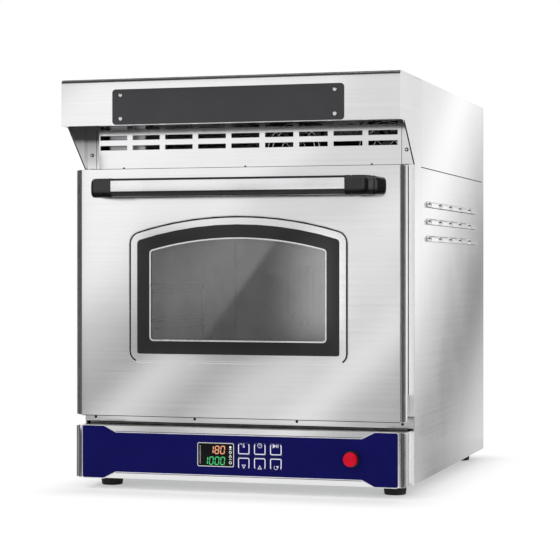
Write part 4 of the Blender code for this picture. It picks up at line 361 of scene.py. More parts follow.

# %% [markdown]
# The handle's brackets get a clear coat only where they face up, so their underside
# shines little and reads dark: painted shade. The object's own normal tells the two
# apart, and its height moves the weight of the coat.

# %% Coat above, painted shade below
def coat_above_shade_below(material, low=-0.22, high=0.0):
    """Coat weight = smooth step of the object normal's Z between two values."""
    tree = material.node_tree
    normal = add(tree, "ShaderNodeTexCoord").outputs["Normal"]
    up = add(tree, "ShaderNodeSeparateXYZ", {0: normal}).outputs["Z"]
    # painted shade: the coat and its shine fade out where the surface faces down
    tree.links.new(remap(tree, up, low, high, soft=True),
                   tree.nodes["Principled BSDF"].inputs["Coat Weight"])


# the same painted shade reaches every piece of this finish, screw heads and louver marks too
coat_above_shade_below(moulded)
print("coat by direction:", moulded.name)

# %% [markdown]
# ## Stone and mineral board
# The baking stone is cordierite: a pale, open ceramic with darker grains, and browner
# where food and heat have been. The board round the chamber is pressed wool, with a
# coarser, softer relief.

# %% Stone finishes
finish("cordierite", (0.44, 0.37, 0.27), (0.70, 0.62, 0.50), (0.82, 0.95),
       grit(2.2), relief=0.0004, worn=(0.74, 0.67, 0.56), clouds=0.07,
       cloud_share=0.45)
finish("mineral_board", (0.46, 0.42, 0.33), (0.72, 0.68, 0.58), (0.88, 0.98),
       grit(4), relief=0.0012, clouds=0.05)

# %% [markdown]
# ## Glass
# Glass lets light through, so its colour comes from its depth of tint. A faint haze of
# wiping marks, a cloud pattern in the roughness, tells the eye that there is a pane. Its
# metallic value and its transmission stay plain numbers on the shader.

# %% Glass finishes
def glass(name, tint_dark, tint_light, roughness, ior):
    """A pane: tint between two tones, with a haze that moves its roughness."""
    material, tree, spot = start_material(name)
    haze = place_group(tree, CLOUDS, {"Vector": spot, "Size": 0.06})["Value"]
    tone = blend(tree, haze, (*tint_dark, 1), (*tint_light, 1))
    return keep_finish(name, name, material, tone, haze, roughness, tint_light,
                       Transmission_Weight=1.0, IOR=ior)


glass("tinted_glass", (0.56, 0.56, 0.57), (0.62, 0.62, 0.63), (0.006, 0.018), 2.0)
glass("clear_glass", (0.86, 0.88, 0.88), (0.90, 0.92, 0.92), (0.006, 0.020), 1.50)
print("finishes:", len(FINISHES))

# %% [markdown]
# ## The display's light
# The digits are lit from behind. Their colour goes to the shader's emission, at a plain
# strength, and varies a little from dot to dot as an old display's does.

# %% Lit finishes
def lit(name, dark, light, strength, slot):
    """A glowing print: emission between two tones of a grain."""
    material = finish(name, dark, light, (0.3, 0.4), grit(0.9), slot=slot,
                      Emission_Strength=strength)
    shader = material.node_tree.nodes["Principled BSDF"]
    tone = shader.inputs["Base Color"].links[0].from_socket
    material.node_tree.links.new(tone, shader.inputs["Emission Color"])


lit("warm_digits", (0.60, 0.22, 0.12), (0.74, 0.32, 0.18), 0.5, "display_black")
lit("green_digits", (0.02, 0.34, 0.10), (0.04, 0.46, 0.15), 0.5, "display_black")
lit("white_signs", (0.62, 0.62, 0.62), (0.80, 0.80, 0.80), 0.5, "display_black")
finish("key_signs", (0.70, 0.70, 0.86), (0.86, 0.86, 0.98), (0.35, 0.45),
       grit(0.6), slot="silver_print")

# %% [markdown]
# ## Finish the CAD nodes
# Each node takes the finish of its record's slot. A CAD mesh comes as loose triangles, so
# every face would look flat and every edge hard. A small geometry-nodes modifier welds
# the copy that is drawn, smooths it, and keeps the folds sharp, and a Weighted Normal
# modifier keeps large flat faces flat. The mesh itself is never touched.

# %% Weld and smooth the drawn copies
SMOOTH_BELOW = math.radians(31)
WELD_DISTANCE = 0.003 * MM
OTHER_FINISH = {"top_cover": "roof_steel"}


def weld_and_smooth_group():
    """Weld, forget the file's normals, smooth all faces, and keep the folds sharp."""
    tree = bpy.data.node_groups.new("weld_and_smooth", "GeometryNodeTree")
    tree.is_modifier = True
    for way in ("INPUT", "OUTPUT"):
        tree.interface.new_socket("Mesh", in_out=way, socket_type="NodeSocketGeometry")
    mesh = tree.nodes.new("NodeGroupInput").outputs[0]
    mesh = add(tree, "GeometryNodeMergeByDistance", {"Geometry": mesh,
                                                     "Distance": WELD_DISTANCE}).outputs[0]
    mesh = add(tree, "GeometryNodeRemoveAttribute", {"Geometry": mesh,
                                                     "Name": "custom_normal"}).outputs[0]
    mesh = add(tree, "GeometryNodeSetShadeSmooth", {"Geometry": mesh, "Shade Smooth": True},
               domain="FACE").outputs[0]
    angle = add(tree, "GeometryNodeInputMeshEdgeAngle").outputs[0]
    sharp = add(tree, "FunctionNodeCompare", data_type="FLOAT", operation="GREATER_THAN",
                inputs={0: angle, 1: SMOOTH_BELOW}).outputs[0]
    mesh = add(tree, "GeometryNodeSetShadeSmooth", {"Geometry": mesh, "Selection": sharp,
                                                    "Shade Smooth": False}, domain="EDGE").outputs[0]
    tree.links.new(mesh, tree.nodes.new("NodeGroupOutput").inputs[0])
    return tree


WELD_AND_SMOOTH = weld_and_smooth_group()


def smooth_drawn(obj):
    """The two modifiers that make a mesh look right where it is drawn."""
    obj.modifiers.new("weld_and_smooth", "NODES").node_group = WELD_AND_SMOOTH
    flat = obj.modifiers.new("flat_faces_stay_flat", "WEIGHTED_NORMAL")
    flat.keep_sharp = True
    flat.weight = 100


for name, node in nodes.items():
    slot = node.material_slots[0].material.name.split(".")[0]
    node.material_slots[0].material = FINISHES[OTHER_FINISH.get(name, slot)]
    smooth_drawn(node)
print("nodes finished:", len(nodes))

# %% [markdown]
# ## Shapes from arrays
# Every added piece is a surface that numpy works out as a whole: a grid of points with
# two parameters. Quads join each point to its neighbours, and a row or column may close
# on itself. A shape is a pair: its points, and a list of index arrays for its faces, so
# several shapes join by shifting their numbers.

# %% Grids, joins and pieces
DOUBLES_WITHIN = 0.002 * MM


def grid(points, closed_rows=False, closed_columns=False):
    """Quads between neighbours (i, j), (i+1, j), (i+1, j+1), (i, j+1) of a grid."""
    rows, columns = points.shape[:2]
    i, j = np.meshgrid(np.arange(rows if closed_rows else rows - 1),
                       np.arange(columns if closed_columns else columns - 1), indexing="ij")
    i, j = i.ravel(), j.ravel()
    here, there, near, far = i * columns, (i + 1) % rows * columns, j, (j + 1) % columns
    quads = np.stack([here + near, there + near, there + far, here + far], axis=1)
    return points.reshape(-1, 3), [quads]


def loft(rings):
    """A solid through a stack of closed rings, with a flat face on its first and last."""
    points, faces = grid(rings, closed_columns=True)
    count = rings.shape[1]
    last = (rings.shape[0] - 1) * count
    return points, [*faces, np.arange(count)[None, ::-1], last + np.arange(count)[None]]


def joined(*shapes):
    """Several shapes as one, each shape's numbers shifted past the points before it."""
    starts = np.cumsum([0, *(len(points) for points, _ in shapes)])
    return (np.concatenate([points for points, _ in shapes]),
            [faces + start for start, (_, groups) in zip(starts, shapes) for faces in groups])


def moved(shape, *places):
    """A copy of a shape at each place, its points shifted by that place."""
    points, groups = shape
    return joined(*((points + np.asarray(place, float), groups) for place in places))


def mirrored(shape):
    """The shape and its mirror image across the middle, where x changes its sign."""
    points, groups = shape
    return joined(shape, (points * (-1, 1, 1), [faces[:, ::-1] for faces in groups]))


def piece(name, shape, look, body="oven_body", stands_for=(), smooth=35):
    """The object of a shape: doubles merged, faces turned outward, riding on its body."""
    points, groups = shape
    mesh = bpy.data.meshes.new(name)
    mesh.from_pydata(points.tolist(), [], [face for faces in groups for face in faces.tolist()])
    bm = bmesh.new()
    bm.from_mesh(mesh)
    bmesh.ops.remove_doubles(bm, verts=bm.verts, dist=DOUBLES_WITHIN)
    bmesh.ops.recalc_face_normals(bm, faces=bm.faces)
    bm.to_mesh(mesh)
    bm.free()
    mesh.polygons.foreach_set("use_smooth", np.ones(len(mesh.polygons), bool))
    mesh.set_sharp_from_angle(angle=math.radians(smooth))
    mesh.materials.append(FINISHES[look])
    obj = bpy.data.objects.new(name, mesh)
    bpy.context.scene.collection.objects.link(obj)
    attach(obj, body)
    if stands_for:
        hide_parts(*stands_for)
    print(f"{name}: {len(mesh.polygons)} faces")
    return obj


# %% [markdown]
# ## Turned shapes and swept profiles
# Two more tools make almost everything that follows. A lathe turns a profile of radius
# and height about an axis. A sweep carries a small profile along a flat path, and at each
# corner it widens the profile by one over the cosine of half the bend, so a band keeps
# its width. Round outlines come from arcs.

# %% Lathe, sweep and outlines
AXES = {"x": ((0, 1, 0), (0, 0, 1), (1, 0, 0)), "y": ((0, 0, 1), (1, 0, 0), (0, 1, 0)),
        "z": ((1, 0, 0), (0, 1, 0), (0, 0, 1))}

SHARPEST_BEND = 0.35


def turned(profile, centre, axis, steps=48):
    """centre + radius (cos a, sin a) across the axis + height along it."""
    first, second, along = (np.array(v, float) for v in AXES[axis])
    radius, height = np.array(profile, float).T
    angle = np.linspace(0, 2 * np.pi, steps, endpoint=False)
    ring = np.cos(angle)[:, None] * first + np.sin(angle)[:, None] * second
    points = radius[:, None, None] * ring + height[:, None, None] * along + np.array(centre, float)
    return grid(points, closed_columns=True)


def swept(path, profile, out, closed=False):
    """path + profile[0] to the path's side, widened at corners, + profile[1] outward."""
    path, profile, out = (np.array(v, float) for v in (path, profile, out))
    step = np.roll(path, -1, axis=0) - path
    if not closed:
        step[-1] = step[-2]
    step /= np.linalg.norm(step, axis=1)[:, None]
    before = np.roll(step, 1, axis=0)
    if not closed:
        before[0] = step[0]
    way = step + before
    way /= np.linalg.norm(way, axis=1)[:, None]
    widen = 1 / np.clip((way * step).sum(axis=1), SHARPEST_BEND, 1)
    side = np.cross(way, out) * widen[:, None]
    rings = path[:, None] + profile[None, :, :1] * side[:, None] + profile[None, :, 1:] * out
    return grid(rings, closed_rows=True, closed_columns=True) if closed else loft(rings)


def circle(centre, radius, steps):
    """Once round: centre + radius (cos a, sin a)."""
    angle = np.linspace(0, 2 * np.pi, steps, endpoint=False)
    return np.asarray(centre, float) + radius * np.stack([np.cos(angle), np.sin(angle)], axis=1)


def ring_profile(radius, steps=12):
    """A wire's round section."""
    return circle((0, 0), radius, steps)


def strip_profile(width, height, soft=0.3):
    """A flat band's section, whose top corners are cut by a share of its height."""
    half, cut = width / 2, height * soft
    return [(-half, 0), (half, 0), (half, height - cut), (half - cut, height),
            (cut - half, height), (-half, height - cut)]


def rounded(corners, steps=8):
    """An outline through (a, b, radius) corners, each replaced by the arc tangent to both
    sides: its centre lies on the bisector, radius / sin(half the corner's angle) away."""
    given = np.array(corners, float)
    here, radius = given[:, :2], given[:, 2]
    back = np.roll(here, 1, axis=0) - here
    ahead = np.roll(here, -1, axis=0) - here
    back /= np.linalg.norm(back, axis=1)[:, None]
    ahead /= np.linalg.norm(ahead, axis=1)[:, None]
    half = np.arccos(np.clip((back * ahead).sum(axis=1), -1, 1)) / 2
    middle = back + ahead
    middle /= np.linalg.norm(middle, axis=1)[:, None]
    centre = here + middle * (radius / np.sin(half))[:, None]
    start = here + back * (radius / np.tan(half))[:, None] - centre
    end = here + ahead * (radius / np.tan(half))[:, None] - centre
    share = np.linspace(0, 1, steps + 1)[None, :, None]
    sweep = (np.pi - 2 * half)[:, None, None]
    bend = np.maximum(np.sin(sweep), 1e-9)
    arc = (np.sin((1 - share) * sweep) * start[:, None] + np.sin(share * sweep) * end[:, None]) / bend
    return (centre[:, None] + arc).reshape(-1, 2)


def rectangle(centre, size, radius, steps=6):
    """A rectangle's outline with round corners, counter-clockwise."""
    (a, b), (w, h) = centre, (size[0] / 2, size[1] / 2)
    return rounded([(a - w, b - h, radius), (a + w, b - h, radius),
                    (a + w, b + h, radius), (a - w, b + h, radius)], steps)


def upright(outline, y):
    """An (x, z) outline as points in the upright plane at y."""
    outline = np.array(outline, float)
    return np.stack([outline[:, 0], np.full(len(outline), y), outline[:, 1]], axis=1)


def inset(outline, distance):
    """The outline moved inward: each point goes along the mean of its two side normals."""
    outline = np.array(outline, float)
    following = np.roll(outline, -1, axis=0)
    step = following - outline
    step /= np.maximum(np.linalg.norm(step, axis=1), 1e-12)[:, None]
    way = step + np.roll(step, 1, axis=0)
    way /= np.maximum(np.linalg.norm(way, axis=1), 1e-12)[:, None]
    widen = 1 / np.clip((way * step).sum(axis=1), SHARPEST_BEND, 1)
    inward = np.stack([-way[:, 1], way[:, 0]], axis=1)
    area = np.sum(outline[:, 0] * following[:, 1] - following[:, 0] * outline[:, 1])
    return outline + np.sign(area) * distance * widen[:, None] * inward


def plate(outline, back, front, soft=0.3 * MM):
    """A flat plate between two y values, with its front edge cut by the soft distance."""
    toward = math.copysign(soft, back - front)
    rings = np.stack([upright(outline, back), upright(outline, front + toward),
                      upright(inset(outline, soft), front)])
    return loft(rings)


def middle_of(low, high):
    """The middle of a box, seen from the front: its x and its z."""
    return (low.x + high.x) / 2, (low.z + high.z) / 2


def sheet_metal(obj, thickness, outward):
    """Turns a sheet's faces outward, thickens it inward, and smooths what is drawn."""
    if obj.data.polygons[0].normal.dot(outward) < 0:
        obj.data.flip_normals()
    solid = obj.modifiers.new("sheet", "SOLIDIFY")
    solid.thickness = thickness
    solid.offset = -1
    smooth_drawn(obj)


FACING = (0, -1, 0)
SIDES = ((-1, "left"), (1, "right"))

# %% [markdown]
# ## Screw heads
# Pan-head screws hold the nameplate, the grille and the rail. A head is a low dome, and
# its cross recess is a dip in that dome: the height drops where a point is close to one
# of two crossing lines and not too far from the middle. Both are formulas of the same
# polar grid, so there is nothing to cut.

# %% Screw heads
RIM_SHARE, DIP_SHARE = 0.25, 0.42
ARM_WIDTH, ARM_REACH = 0.12, 0.55
SCREW_SUNK = 0.3 * MM


def screw_head(radius=3.5 * MM, height=2.6 * MM):
    """Height of the dome h sqrt(1 - r^2) on a straight rim, less a cross-shaped dip."""
    share, angle = np.meshgrid(np.linspace(0, 1, 19), np.linspace(0, 2 * np.pi, 64, endpoint=False),
                               indexing="ij")
    x, z = radius * share * np.cos(angle), radius * share * np.sin(angle)
    rim = RIM_SHARE * height
    dome = rim + (height - rim) * np.sqrt(np.clip(1 - share ** 2, 0, 1))
    near = np.minimum(np.abs(x), np.abs(z)) / (ARM_WIDTH * radius)
    far = np.maximum(np.abs(x), np.abs(z)) / (ARM_REACH * radius)
    dip = np.clip(1.6 - near ** 2, 0, 1) * np.clip((1 - far) * 4, 0, 1)
    cap = np.stack([x, DIP_SHARE * height * dip - dome, z], axis=2)
    foot = cap[-1:] * (1, 0, 1) + (0, SCREW_SUNK, 0)
    return loft(np.concatenate([foot, cap[::-1]]))


# %% [markdown]
# ## The nameplate
# A dark powder-coated plate lies on the hood's face. It is left bare. The outline is a
# rectangle with round corners, and its front edge is cut a little, which catches light.

# %% Nameplate
PLATE_THICK, PLATE_CORNER = 2 * MM, 6 * MM
SCREW_FROM_END, SCREW_FROM_EDGE = 15.3 * MM, 10 * MM
plate_low, plate_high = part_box("nameplate")
plate_face = plate_high.y - PLATE_THICK
plate_outline = rectangle(middle_of(plate_low, plate_high),
                          (plate_high.x - plate_low.x, plate_high.z - plate_low.z), PLATE_CORNER)
piece("nameplate_face", plate(plate_outline, plate_high.y, plate_face, 0.4 * MM), "dark_plate",
      stands_for=["nameplate"])
plate_screws = [(x, plate_face, z)
                for x in (plate_low.x + SCREW_FROM_END, plate_high.x - SCREW_FROM_END)
                for z in (plate_low.z + SCREW_FROM_EDGE, plate_high.z - SCREW_FROM_EDGE)]
piece("nameplate_screws", moved(screw_head(), *plate_screws), "aluminium")

# %% [markdown]
# ## The rail under the door
# A flat strip closes the front below the door. Its two upper corners are cut off, and
# four dark screws hold it.

# %% Rail
RAIL_THICK, RAIL_CUT = 1.5 * MM, 5 * MM
RAIL_SCREW_DROP, RAIL_SCREWS_X = 8.8 * MM, (-279.7, -93.2, 93.2, 279.7)
rail_low, rail_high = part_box("lower_rail")
rail_face = rail_high.y - RAIL_THICK
rail_outline = [(rail_low.x, rail_low.z), (rail_high.x, rail_low.z),
                (rail_high.x, rail_high.z - RAIL_CUT), (rail_high.x - RAIL_CUT, rail_high.z),
                (rail_low.x + RAIL_CUT, rail_high.z), (rail_low.x, rail_high.z - RAIL_CUT)]
piece("rail_strip", plate(rail_outline, rail_high.y, rail_face), "brushed_steel",
      stands_for=["lower_rail"])
rail_screws = [(x * MM, rail_face, rail_high.z - RAIL_SCREW_DROP) for x in RAIL_SCREWS_X]
piece("rail_screw_heads", moved(screw_head(2.4 * MM, 1.8 * MM), *rail_screws), "moulded_black")

# %% [markdown]
# ## The vent grille
# The grille is a sheet with 27 slots. As a grid this is simple: lines run along every slot
# edge, and the faces that fall in a slot are left out. Solidify gives the sheet its
# thickness, walls of the slots included, and a weighted normal keeps its face flat.

# %% Grille
GRILLE_THICK, SLOT_COLUMNS = 1.5 * MM, 9
SLOT_HEIGHT, SLOT_WEB, SLOT_FROM_END = 8.0 * MM, 10.4 * MM, 6.9 * MM
SLOT_ROWS_Z = 636.5 * MM - np.arange(3) * 17.8 * MM
grille_low, grille_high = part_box("vent_grille")
grille_face = grille_high.y - GRILLE_THICK
slot_pitch = (2 * (grille_high.x - SLOT_FROM_END) + SLOT_WEB) / SLOT_COLUMNS
slot_length = slot_pitch - SLOT_WEB
slot_middles = (np.arange(SLOT_COLUMNS) - (SLOT_COLUMNS - 1) / 2) * slot_pitch


def slot_lines(low, middles, length, high):
    """The sheet's two ends, and between them the two edges of every slot, in order."""
    edges = middles[:, None] + [-length / 2, length / 2]
    return np.concatenate([[low], np.sort(edges.ravel()), [high]])


def slotted_sheet():
    """A flat grid whose lines run along the slots' edges, without the faces inside them."""
    x = slot_lines(grille_low.x, slot_middles, slot_length, grille_high.x)
    z = slot_lines(grille_low.z, SLOT_ROWS_Z, SLOT_HEIGHT, grille_high.z)
    points = np.stack(np.meshgrid(x, [grille_face], z, indexing="ij"), axis=3)[:, 0]
    shape, (quads,) = grid(points)
    column, row = np.divmod(np.arange(len(quads)), len(z) - 1)
    return shape, [quads[~((column % 2 == 1) & (row % 2 == 1))]]


sheet_metal(piece("grille_sheet", slotted_sheet(), "brushed_steel", stands_for=["vent_grille"]),
            GRILLE_THICK, FACING)
grille_screws = [(x * MM, grille_face, grille_low.z + 2.2 * MM) for x in (-226, 0, 226)]
piece("grille_screw_heads", moved(screw_head(1.7 * MM, 1.4 * MM), *grille_screws), "heater_sheath")
flange_screws = [(x * MM, FRONT - 2.2 * MM, 588.6 * MM) for x in (-286.8, 286.8)]
piece("flange_screw_heads", moved(screw_head(3.3 * MM, 2.6 * MM), *flange_screws), "moulded_black")

# %% [markdown]
# ## Shade lines round the hood
# Dark lines make a sheet-metal body readable. Here they are thin dark beads laid in the
# narrow gaps between its sheets, where they stand in for the shade: painted shade. One lies
# along the grille's foot, where the door's top edge closes, one on each side of the grille,
# and one along the slanted edge of each hood cheek. Each is a thin round bead carried along
# a straight path.

# %% Hood shade lines
HEAD_SHADE_HALF, HEAD_SHADE_RISE = 290 * MM, 0.7 * MM
SEAM_HEAD_Z, CHEEK_FOOT_Z, CHEEK_X = 632 * MM, 563.6 * MM, 299.6 * MM


def bead(start, end, radius, out=FACING):
    """A round strip between two points: the path's two ends with one circle each."""
    return swept([start, end], ring_profile(radius, 10), out)


def level_bead(half, y, z, radius):
    """A bead that lies level across the front, as far to the left as to the right."""
    return bead((-half, y, z), (half, y, z), radius)


def upright_bead(x, y, low_z, high_z, radius, out=FACING):
    """A bead that stands upright."""
    return bead((x, y, low_z), (x, y, high_z), radius, out)


head_shade = level_bead(HEAD_SHADE_HALF, grille_face, grille_low.z + HEAD_SHADE_RISE, 0.7 * MM)
side_seam = upright_bead(grille_high.x + 0.3 * MM, grille_face + 0.4 * MM, grille_low.z + 1 * MM,
                         SEAM_HEAD_Z, 0.6 * MM)
cheek_seam = bead((CHEEK_X, FRONT - 78.6 * MM, SEAM_HEAD_Z), (CHEEK_X, FRONT - 1.2 * MM, CHEEK_FOOT_Z),
                  1.1 * MM, (1, 0, 0))
# painted shade: dark beads along the grille's foot, its sides and the cheeks' slanted edges
piece("head_shade_bead", head_shade, "rubber")
piece("hood_seam_shade_beads", joined(mirrored(side_seam), mirrored(cheek_seam)), "rubber")

# %% [markdown]
# ## The side panels with their louvers
# Louvers are cut and pressed in one stroke: the sheet is slit along the lower edge and
# pushed out above it, so each hood is open below. The panel is one height field, the
# distance out of the side as a function of y and z. Each hood is a quarter-ellipse from
# its lip up, rounded to its two ends. Two rows of points share the height of the slit,
# and the faces between them are left out where the hood stands off the sheet.

# %% Side panels
LOUVER_PROUD, LOUVER_HEIGHT, LOUVER_END = 6.0 * MM, 10.5 * MM, 11 * MM
LOUVER_BOTTOMS = (434 * MM, 464 * MM, 494 * MM)
LOUVER_COLUMNS, LOUVER_PITCH, LOUVER_WEB = 5, 93.5 * MM, 5.5 * MM
ROUND_STEPS, PANEL_THICK, PANEL_DEPTH = 9, 1.2 * MM, 12 * MM
panel_low, panel_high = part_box("side_panel_right")
SIDE_X = -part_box("front_frame")[0].x
louver_fronts = FRONT + 98 * MM + np.arange(LOUVER_COLUMNS) * LOUVER_PITCH
louver_length = LOUVER_PITCH - LOUVER_WEB


def quarter_round(share):
    """sqrt(1 - share^2), held at 0 beyond the round's end."""
    return np.sqrt(np.clip(1 - share ** 2, 0, 1))


def side_sheet(side):
    """x = side (half width + proud * end(y) * sqrt(1 - t^2)), t the height over the lip."""
    turn = np.linspace(0, np.pi / 2, ROUND_STEPS)
    end_steps = LOUVER_END * (1 - np.cos(turn))
    run = np.concatenate([end_steps, louver_length - end_steps[::-1]])
    y = np.concatenate([[panel_low.y], (louver_fronts[:, None] + run).ravel(), [panel_high.y]])
    t = np.sin(turn)
    rows = [(bottom, *(bottom + LOUVER_HEIGHT * t)) for bottom in LOUVER_BOTTOMS]
    z = np.concatenate([[panel_low.z], *rows, [panel_high.z]])
    level = np.concatenate([[0], *([(0, *quarter_round(t) ** 0.8)] * len(rows)), [0]])
    inside = np.clip(np.minimum(run, louver_length - run) / LOUVER_END, 0, 1)
    along = np.concatenate([[0], np.tile(quarter_round(1 - inside), LOUVER_COLUMNS), [0]])
    out = SIDE_X + LOUVER_PROUD * along[:, None] * level[None, :]
    yy, zz = np.meshgrid(y, z, indexing="ij")
    skin = np.stack([side * out, yy, zz], axis=2)
    lip = skin[:, -1:] - (side * PANEL_DEPTH, 0, 0)
    points, (quads,) = grid(np.concatenate([skin, lip], axis=1))
    column, row = np.divmod(np.arange(len(quads)), len(z))
    slit_rows = 1 + np.arange(len(rows)) * (ROUND_STEPS + 1)
    stands_off = (along[column] > 0) | (along[np.minimum(column + 1, len(y) - 1)] > 0)
    return points, [quads[~(np.isin(row, slit_rows) & stands_off)]]


for side, label in SIDES:
    sheet_metal(piece("side_sheet_" + label, side_sheet(side), "brushed_steel",
                      stands_for=["side_panel_" + label], smooth=40), PANEL_THICK, (side, 0, 0))

# %% [markdown]
# At the front end of each louver the slit's opening lies in deep shade, and so does the
# thin edge of the cut below it. Dark pieces stand in for both: painted shade. The shade spot
# is a low oval dome. The edge is a flat half ring. Both lie on the louver's own surface, so
# their points take the height formula again.

# %% Louver shade marks
SHADE_SPOT_PLACE, SHADE_SPOT_HALF, SHADE_SPOT_STEPS = (6.0, 5.8), (4.5, 1.7), 24
SHADE_SPOT_RINGS = ((-0.5, 1), (0.2, 1), (0.4, 0.6))
BAND_PLACE, BAND_RADIUS, BAND_RISE = (5.0, 5.3), 11.0, 5.0
BAND_TURN = np.radians(np.linspace(76, -84, 15))[:, None]
BAND_ACROSS = np.array([-2.8, -1.4, 1.4, 2.8, 2.8, -2.8])
BAND_LIFT = np.array([0.15, 0.35, 0.35, 0.15, -0.5, -0.5]) * MM


def hood_rise(y, z, start, bottom):
    """How far a hood stands out at (y, z): a quarter round along, a flat round upward."""
    inside = np.clip((y - start) / LOUVER_END, 0, 1)
    level = np.clip(1 - ((z - bottom) / LOUVER_HEIGHT) ** 2, 0, 1) ** 0.4
    return LOUVER_PROUD * quarter_round(1 - inside) * level


def louver_shade_mark(side, start, bottom):
    """A dark oval on the hood's front cap and a dark curved flat band draped over the hood: painted shade.
    """
    rings = []
    for lift, share in SHADE_SPOT_RINGS:
        y, z = (circle((0, 0), 1, SHADE_SPOT_STEPS) * SHADE_SPOT_HALF * share + SHADE_SPOT_PLACE).T * MM
        out = SIDE_X + hood_rise(start + y, bottom + z, start, bottom) + lift * MM
        rings.append(np.stack([side * out, start + y, bottom + z], axis=1))
    y = start + (BAND_PLACE[0] + (BAND_RADIUS + BAND_ACROSS) * np.cos(BAND_TURN)) * MM
    z = bottom + (BAND_PLACE[1] + BAND_RISE * np.sin(BAND_TURN)) * MM + 0 * y
    rise = np.minimum(hood_rise(y, z, start, bottom) + BAND_LIFT, LOUVER_PROUD - 0.03 * MM)
    return joined(loft(np.stack(rings)), loft(np.stack([side * (SIDE_X + rise), y, z], axis=2)))


# painted shade: a dark spot and a dark edge band at each louver's open front end
for side, label in SIDES:
    ends = [louver_shade_mark(side, start, bottom) for bottom in LOUVER_BOTTOMS for start in louver_fronts]
    piece("louver_shade_marks_" + label, joined(*ends), "moulded_black")

# %% [markdown]
# ## The seam under the roof cover
# The roof cover and the side panel meet in a level seam. A dark bead, a thin round strip
# that lies in the seam, stands in for the shade in it: painted shade.

# %% Seam shade beads
SEAM_Z = 561.4 * MM
seam_x = SIDE_X - 0.5 * MM
roof_seam_shade = bead((seam_x, panel_low.y, SEAM_Z), (seam_x, panel_high.y, SEAM_Z), 1.0 * MM, (1, 0, 0))
# painted shade: a dark bead in the seam under the roof cover
piece("seam_beads", mirrored(roof_seam_shade), "rubber")

# %% [markdown]
# ## Feet
# Four rubber feet carry the oven. Each is a tapered block with a rounded foot edge, a
# shallow groove below its top and a dished underside for the screw.

# %% Feet
FOOT_EDGE, FOOT_FLAT = 2.2, 16.4
FOOT_TOP = [(0, 19.7), (19.6, 19.7), (20.4, 18.9), (20.3, 16.4), (19.6, 16.0), (19.6, 15.2),
            (20.15, 14.8)]
FOOT_UNDER = [(9, 0), (8, 1.6), (0, 1.6)]


def foot(centre):
    """A lathe profile: top disc, groove, taper, rounded lower edge, dished underside."""
    bend = np.linspace(0, np.pi / 2, 7)
    edge = np.stack([FOOT_FLAT + FOOT_EDGE * np.cos(bend), FOOT_EDGE * (1 - np.sin(bend))], axis=1)
    return turned(np.concatenate([FOOT_TOP, edge, FOOT_UNDER]) * MM, centre, "z")


for name in ("foot_front_left", "foot_front_right", "foot_rear_left", "foot_rear_right"):
    low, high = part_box(name)
    middle = (low + high) / 2
    piece(name + "_rubber", foot((middle.x, middle.y, 0)), "rubber", stands_for=[name])

# %% [markdown]
# ## The bar handle
# The bar is a black moulding with a flat aluminium strip let into its face, so the hand
# touches no hot metal. The moulding has a small round along its top and a large one along
# its foot. Both outlines are carried straight along X.

# %% Handle bar
bar_low, bar_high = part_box("handle_bar")
bar_front = bar_low.y + 0.3 * MM
strip_low, strip_high = bar_low.z + 8.8 * MM, bar_high.z - 3.8 * MM
strip_back = bar_low.y + 1.2 * MM
bar_outline = rounded([(bar_front, bar_low.z, 9 * MM), (bar_high.y, bar_low.z, 4 * MM),
                       (bar_high.y, bar_high.z, 4 * MM), (bar_front, bar_high.z, 2.4 * MM)], 10)
strip_outline = rounded([(bar_low.y, strip_low, 0.3 * MM), (strip_back, strip_low, 0.1 * MM),
                         (strip_back, strip_high, 0.1 * MM), (bar_low.y, strip_high, 0.3 * MM)], 4)


def along_bar(outline, shorter=0.0):
    """The (y, z) outline carried from one end of the bar to the other."""
    return loft(np.stack([np.column_stack([np.full(len(outline), x), outline])
                          for x in np.linspace(bar_low.x + shorter, bar_high.x - shorter, 3)]))


piece("handle_bar_body", along_bar(bar_outline), "black_plastic", "door", ["handle_bar"])
piece("handle_bar_face", along_bar(strip_outline, 0.2 * MM), "aluminium", "door")

# %% [markdown]
# ## The handle's end brackets
# Black moulded brackets grip the bar's ends, turn a corner and stand on the door. Such a
# limb is a section carried along a bent path: two rows of knots give its outer and its
# inner side, and a weighted mean of near places rounds the corners between them. The
# section is a superellipse, a rectangle whose corners are very round, because a mould
# needs soft corners. Two grooves mark where the sleeve begins and ends.

# %% Handle brackets
BRACKET_STATIONS, BRACKET_BLUR, FIRM_ENDS = 57, 0.045, 0.1
LEAN_START, LEAN = 0.70, 0.09
POWER_ACROSS, POWER_UP = 4.5, 2.9
GROOVES = ((0.11, 0.012, 0.05), (0.70, 0.018, 0.08))


def superellipse(angle, power):
    """|cos|^(2/power) and |sin|^(2/power), each with its own sign."""
    return [np.sign(wave) * np.abs(wave) ** (2 / power) for wave in (np.cos(angle), np.sin(angle))]


def along_knots(count):
    """The share of each knot at each station: straight between knots, then blurred, and
    left as it was at both ends."""
    s = np.linspace(0, 1, BRACKET_STATIONS)
    knots = np.linspace(0, 1, count)
    straight = np.array([np.interp(s, knots, row) for row in np.eye(count)]).T
    blur = np.exp(-0.5 * ((s[:, None] - s[None]) / BRACKET_BLUR) ** 2)
    soft = blur / blur.sum(axis=1)[:, None] @ straight
    hold = np.clip(np.minimum(s, 1 - s)[:, None] / FIRM_ENDS, 0, 1)
    return s, hold * soft + (1 - hold) * straight


